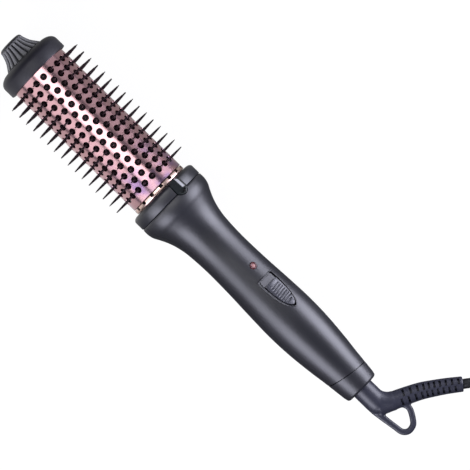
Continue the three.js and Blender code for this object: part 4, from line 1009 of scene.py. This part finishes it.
def recess_rims():
    """A fine raised rim round the recess, laid over the handle's surface."""
    out, sunk, step, count, sides = 0.3, 0.12, 0.8, 15, 10
    front = RECESS_FRONT - out
    all_round = bullet(front, RECESS_LENGTH + 2 * out, RECESS_WIDTH / 2 + 0.5)
    across = [(front, -RECESS_WIDTH / 2 + step * k) for k in range(count)]
    rims = [swept("rim", [(x, y, 0) for x, y in route], round_section(radius, sides))
            for route, radius in ((all_round, 0.5), (across, 0.46))]
    for rim in rims:
        for vertex in rim.data.vertices:
            x, y, z = vertex.co
            radius = handle_radius(x) - sunk + z
            angle = y / handle_radius(x)
            vertex.co = (x, radius * math.sin(angle), radius * math.cos(angle))
    return rims


def upper_shell():
    """The half with the switch's recess, the indicator's hole and the notch for the ion outlet."""
    shell = shell_piece("handle_top", 1)
    cut(shell, [recess_block("pad", -2, RECESS_LENGTH + 1, half_width=6.6, depth=1.2, high=14.0)], "UNION")
    cut(shell, recess_rims(), "UNION")
    recess = raised("recess", recess_plan(), RECESS_FLOOR, ABOVE)
    gutter = raised("gutter", recess_plan(), RECESS_FLOOR - GUTTER_DEPTH, RECESS_FLOOR + 0.4)
    cut(gutter, [raised("island", recess_plan(-GUTTER_WIDTH), RECESS_FLOOR - 2, RECESS_FLOOR + 2)])
    slot = recess_block("slot", 5.0, 12.0, half_width=1.5, depth=3)
    lens_radius = 2.4
    lens = stood("lens hole", rod(6, ABOVE, lens_radius), 32, LIGHT_X)
    return cut(shell, [recess, gutter, slot, lens, notch(), needle_hole()])


def lower_shell():
    """The half with the two screws' bosses and bores."""
    shell = shell_piece("handle_bottom", -1)
    within = [(x, r - 0.7) for x, r in HANDLE_LINE if HANDLE_FRONT < x < HANDLE_REAR]
    boss_radius, head, shank, sunk = 4.6, 3.1, 1.8, 6.8
    first, apart = HANDLE_FRONT + 10.6, 110
    for x in (first, first + apart):
        seat, below = sunk - handle_radius(x), -ABOVE - 10
        stepped = [(below, 0), (below, head), (seat, head), (seat, shank), (1, shank), (1, 0)]
        boss = stood("boss", rod(-ABOVE, -0.15, boss_radius), 32, x)
        bore = stood("bore", stepped, 32, x)
        cut(boss, [under(within)], "INTERSECT")
        cut(shell, [boss], "UNION", "MANIFOLD")
        cut(shell, [bore], solver="MANIFOLD")
    return shell


dress(upper_shell(), SATIN_BLACK, ["handle_upper"])
dress(lower_shell(), SATIN_BLACK, ["handle_lower"])


# Switch and indicator

def slider_piece():
    """The switch's slider, crowned like the handle, with cross ribs."""
    length, half_width, rear_gap, clearance, proud = 18.7, 4.8, 1.2, 0.3, 0.35
    front = RECESS_FRONT + RECESS_LENGTH - rear_gap - length
    body = raised("switch_slide", bullet(front, length, half_width), RECESS_FLOOR + clearance, ABOVE)
    crown = [(x, handle_radius(x) + proud) for x in (front - 5 + 2 * i for i in range(15))]
    cut(body, [under(crown)], "INTERSECT")

    def groove(place, half_across):
        low = (front + place, -half_across, RECESS_RADIUS - proud)
        return block("groove", low, (low[0] + 0.8, half_across, ABOVE), 0.2)

    count, pitch, first = 7, 1.7, 2.6
    grooves, last = groove(first, 3.6), groove(first + pitch * count, 2.1)
    run_tree(grooves, ROWS_TREE, rows=count, row_pitch=pitch, columns=1, material=SWITCH_GREY)
    round_edges(cut(body, [grooves, last]), 0.22, 2)
    return cut(body, [recess_block("stem", 9.2, 11.45, half_width=1.2, depth=4)], "UNION")


# Outlines of the round indicator's raised ring and domed middle: (height over the handle, radius)
LENS_RING = [(-4.4, 0), (-4.4, 3), (-2.8, 3), (-2.8, 2.1), (-0.1, 2.1), (0.15, 1.95), (0.2, 1.7),
             (0.1, 1.45), (-0.15, 1.3), (-0.15, 0)]
LENS_DOME = [(-1.2, 0), (-1.2, 1.2), (-0.2, 1.2), (0.02, 0.9), (0.14, 0.5), (0.18, 0)]


def indicator_piece(name, outline, sides):
    top = handle_radius(LIGHT_X)
    return stood(name, [(top + height, radius) for height, radius in outline], sides, LIGHT_X)


dress(slider_piece(), SWITCH_GREY, ["switch_slider"], "switch")
lens_ring = indicator_piece("indicator_ring", LENS_RING, 48)
dress(lens_ring, RED_LENS, ["indicator_lens"])
lens_dome = indicator_piece("indicator_core", LENS_DOME, 40)
dress(lens_dome, LENS_CORE, ["indicator_lens"])


# Tail cap and cord boot

LOOP_LINE = [(8.0, -4.4), (14.0, -4.5), (21.0, -3.85), (29.5, -2.75), (34.2, -2.0), (36.7, 0.3), (37.0, 3.4),
             (35.2, 6.8), (28.0, 11.0), (22.5, 9.6)]
RELIEF_LINE = line([(TAIL_REAR + x, y, 0) for x, y in RELIEF], 10)
SLOT_ROWS, SLOT_FROM, SLOT_TO, SLOT_DEPTH, SLOT_LENGTH = 10, 0.35, 0.955, 1.25, 1.36


def tail_piece():
    """The cap behind the slanted seam, open for the boot."""
    end, bend = handle_radius(TAIL_REAR), 1.8
    inner, opening, start, lip = end - 1.3, 7.2, HANDLE_REAR - 7, TAIL_REAR - 2.6
    side = [(x, r) for x, r in HANDLE_LINE if start + 1 < x < TAIL_REAR - bend]
    corner = reversed(shoulder(TAIL_REAR, end - bend, -bend, bend, 6))
    outline = [(start, inner), (start, handle_radius(start)), *side, *corner, (TAIL_REAR, 7.5),
               (TAIL_REAR - 0.3, opening), (lip, opening), (lip, inner)]
    tail = cut(turned("tail_end", outline, 128), [behind_seam(SEAM_GAP)], "INTERSECT")
    return cut(tail, [seam_groove()])


def relief_radius(share):
    return 6.1 - 1.5 * share ** 0.8


def relief_slot(share, side, lean):
    """A cross slot on one side of the relief, on one face, at a share of the way along."""
    count = len(RELIEF_LINE) - 1
    k = min(int(share * count), count - 1)
    first, second = Vector(RELIEF_LINE[k]), Vector(RELIEF_LINE[k + 1])
    along = (second - first).normalized()
    radius = relief_radius(share)
    inner, outer, foot = 0.08, 0.8, 0.34     # as shares of the radius there
    near, far = sorted((lean * inner * radius, lean * outer * radius))
    bottom, top = sorted((side * foot * radius, side * (radius + 1)))
    slot = block("slot", (-SLOT_LENGTH / 2, near, bottom), (SLOT_LENGTH / 2, far, top))
    turn = Matrix.Rotation(math.atan2(along.y, along.x), 4, "Z")
    slot.data.transform(Matrix.Translation(first.lerp(second, share * count - k)) @ turn)
    return slot


def relief_slots():
    """Two staggered rows of cross slots on both faces, cut to one depth."""
    step = (SLOT_TO - SLOT_FROM) / (SLOT_ROWS - 1)
    slots = [relief_slot(SLOT_FROM + step * (i - (0.5 if lean < 0 else 0)), side, lean)
             for side in (-1, 1) for lean in (-1, 1) for i in range(SLOT_ROWS)]
    core = swept("core", RELIEF_LINE, round_section(lambda share: relief_radius(share) - SLOT_DEPTH, 32))
    return cut(together("slots", slots), [core])


def boot_piece():
    """Neck, elbow, slotted relief and hanging loop, moulded in one."""
    front = TAIL_REAR - 2.3
    profile = [(10.6, 6.9), (13.2, 6.6), (16, 5.6), (18.2, 3.6), (19.2, 0)]
    neck = turned("neck", [(front, 0), (front, 6.9), *((TAIL_REAR + x, r) for x, r in profile)], 48)
    relief = swept("relief", RELIEF_LINE, round_section(relief_radius, 40))

    # The elbow fills the inside of the bend between neck and relief
    bend, corner, turn, steps = 13.5, 14.65, math.radians(65.6), 12
    arc_start = TAIL_REAR + corner - bend * math.tan(turn / 2)
    arc = [(arc_start + bend * math.sin(a), bend * (1 - math.cos(a)), 0)
           for a in (turn * k / steps for k in range(steps + 1))]
    elbow = swept("elbow", arc, round_section(lambda share: 6.75 - 0.95 * share, 40))

    # The loop's bar is wider where it leaves the neck
    half_wide, half_tall, wider = 1.85, 2.15, 0.6

    def bar(_, share):
        return oval(half_wide + wider * max(0.0, 1 - 3.2 * share), half_tall, 16, SQUARED)

    loop = swept("loop", line([(TAIL_REAR + x, y, 0) for x, y in LOOP_LINE], 8), bar)
    made = together("cord_boot_moulding", [neck, relief, elbow, loop])
    one_skin = made.modifiers.new("one skin", "REMESH")
    one_skin.mode, one_skin.voxel_size = "VOXEL", 0.4
    soften = made.modifiers.new("soften", "SMOOTH")
    soften.factor, soften.iterations = 0.5, 10
    settle(made)
    bore = turned("bore", rod(front - 1, TAIL_REAR + 9.4, 4.3), 32)
    return cut(made, [relief_slots(), bore])


dress(tail_piece(), SATIN_BLACK, ["tail_cap"])
dress(boot_piece(), BOOT_BLUE, ["cord_boot"], "cord", AXIS, sharp=50)


# CAD pieces that stay

KEPT = {
    STEEL: ["cap_screw_upper", "cap_screw_lower", "handle_screw_front", "handle_screw_rear",
            "board_screw_front", "board_screw_rear", "thermal_fuse"],
    # The needle is darkened as painted shade
    SHADED_STEEL: ["emitter_needle"],
    ALUMINIUM: ["heater_block_upper", "heater_block_lower"],
    CERAMIC: ["heating_plate", "insulating_sheet_upper", "insulating_sheet_lower", "temperature_sensor"],
    HEAT_PLASTIC: ["swivel_spindle"],
    MATT_BLACK: ["barrel_mount", "ion_module", "triac", "switch_body", "swivel_housing"],
    BOARD: ["control_board"],
    SLEEVE_BLUE: ["board_capacitor"],
    RED_LENS: ["indicator_light"],
    WIRE_RED: ["heater_lead_live", "mains_lead_live"],
    WIRE_WHITE: ["heater_lead_neutral", "mains_lead_neutral"],
    BRASS: ["contact_spring_live", "contact_spring_neutral", "contact_ring_live", "contact_ring_neutral"],
}
for material, names in KEPT.items():
    for name in names:
        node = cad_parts[name]
        node.data.materials.clear()
        node.data.materials.append(material)


# Floor and light

WHITE = (1.0, 1.0, 1.0)


def seen_directly(tree, rays):
    """One for what the camera sees, also through a clear piece."""
    return arithmetic(tree, "MAXIMUM", rays["Is Camera Ray"], rays["Is Transmission Ray"])


def emission(tree, strength):
    return put(tree, "ShaderNodeEmission", {"Color": (*WHITE, 1.0), "Strength": strength}).outputs[0]


def either(tree, share, first, second):
    """One shader, or the other by its share."""
    return put(tree, "ShaderNodeMixShader", {0: share, 1: first, 2: second}).outputs[0]


def floor_material():
    """Pale floor that looks white to the camera and in reflections, and still takes the brush's shadow."""
    material, tree, shader = new_material("studio floor")
    feed(tree, shader, {"Base Color": (0.86, 0.86, 0.86, 1.0), "Roughness": 0.9, "Specular IOR Level": 0.1})
    rays = put(tree, "ShaderNodeLightPath").outputs
    at = parts_of(tree, place_of(tree))
    # Reflections see a pale floor beside the barrel, less so on its far side, and a dark one by the handle
    beside = ranged(tree, at["Y"], AXIS_Y - 0.03, AXIS_Y + 0.03, 0.85, 0.4)
    behind = ranged(tree, at["X"], -0.05, -0.03)
    tone = put(tree, "ShaderNodeMix", {0: behind, 2: beside, 3: 0.1}, data_type="FLOAT").outputs[0]
    share = arithmetic(tree, "MULTIPLY", seen_directly(tree, rays), 0.9)
    direct = either(tree, share, shader.outputs[0], emission(tree, 1.04))
    surface = either(tree, rays["Is Glossy Ray"], direct, emission(tree, tone))
    feed(tree, tree.nodes["Material Output"], {"Surface": surface})
    arrange(tree)
    return material


def light_world():
    """Weak cool light from all round; the camera sees white behind the floor."""
    world = bpy.data.worlds.new("studio")
    world.use_nodes = True
    sky = world.node_tree
    fill = sky.nodes["Background"]
    feed(sky, fill, {"Color": (0.86, 0.87, 1.0, 1.0), "Strength": 0.165})
    backdrop = put(sky, "ShaderNodeBackground", {"Color": (*WHITE, 1.0), "Strength": 1.0})
    rays = put(sky, "ShaderNodeLightPath").outputs
    surface = either(sky, seen_directly(sky, rays), fill.outputs[0], backdrop.outputs[0])
    feed(sky, sky.nodes["World Output"], {"Surface": surface})
    arrange(sky)
    return world


def lamp(name, middle_x, degrees_over, distance, size, radiance, colour):
    """A soft rectangular lamp beside the brush, at an angle from straight up, positive on the switch's
    side. Its size is (along X, the other way), and its radiance its power over pi times its area."""
    turn = math.radians(degrees_over)
    back = Vector((0, math.sin(turn), math.cos(turn)))
    side = Vector((1, 0, 0))
    data = bpy.data.lights.new(name, "AREA")
    data.shape, data.size, data.size_y = "RECTANGLE", size[0], size[1]
    data.energy, data.color = radiance * math.pi * size[0] * size[1], colour
    thing = add_object(name, data)
    place = Matrix.Translation(Vector((middle_x, AXIS_Y, AXIS_Z)) + distance * back)
    thing.matrix_world = place @ Matrix((side, back.cross(side), back)).transposed().to_4x4()
    thing.visible_camera = False


floor = from_points("floor", [(-3, -3, 0), (3, -3, 0), (3, 3, 0), (-3, 3, 0)], [(0, 1, 2, 3)])
floor.data.materials.append(floor_material())
bpy.context.scene.world = light_world()

COOL = (0.84, 0.845, 1.0)
# Name, middle along X, angle, distance, size, radiance and colour of each lamp
LAMPS = [("over the barrel", -0.13, -1.0, 0.40, (0.16, 0.30), 3.3, WHITE),
         ("barrel, pale side", -0.125, -54.0, 0.40, (0.17, 0.34), 1.3, WHITE),
         ("barrel, dusty side", -0.125, 60.0, 0.40, (0.17, 0.34), 0.45, WHITE),
         ("handle, switch side", 0.215, 72.0, 0.50, (0.47, 0.42), 8.4, COOL),
         ("handle, other side", 0.215, -54.0, 0.50, (0.47, 0.36), 6.2, COOL)]
for row in LAMPS:
    lamp(*row)

settings = bpy.context.scene.view_settings
settings.view_transform = "Standard"
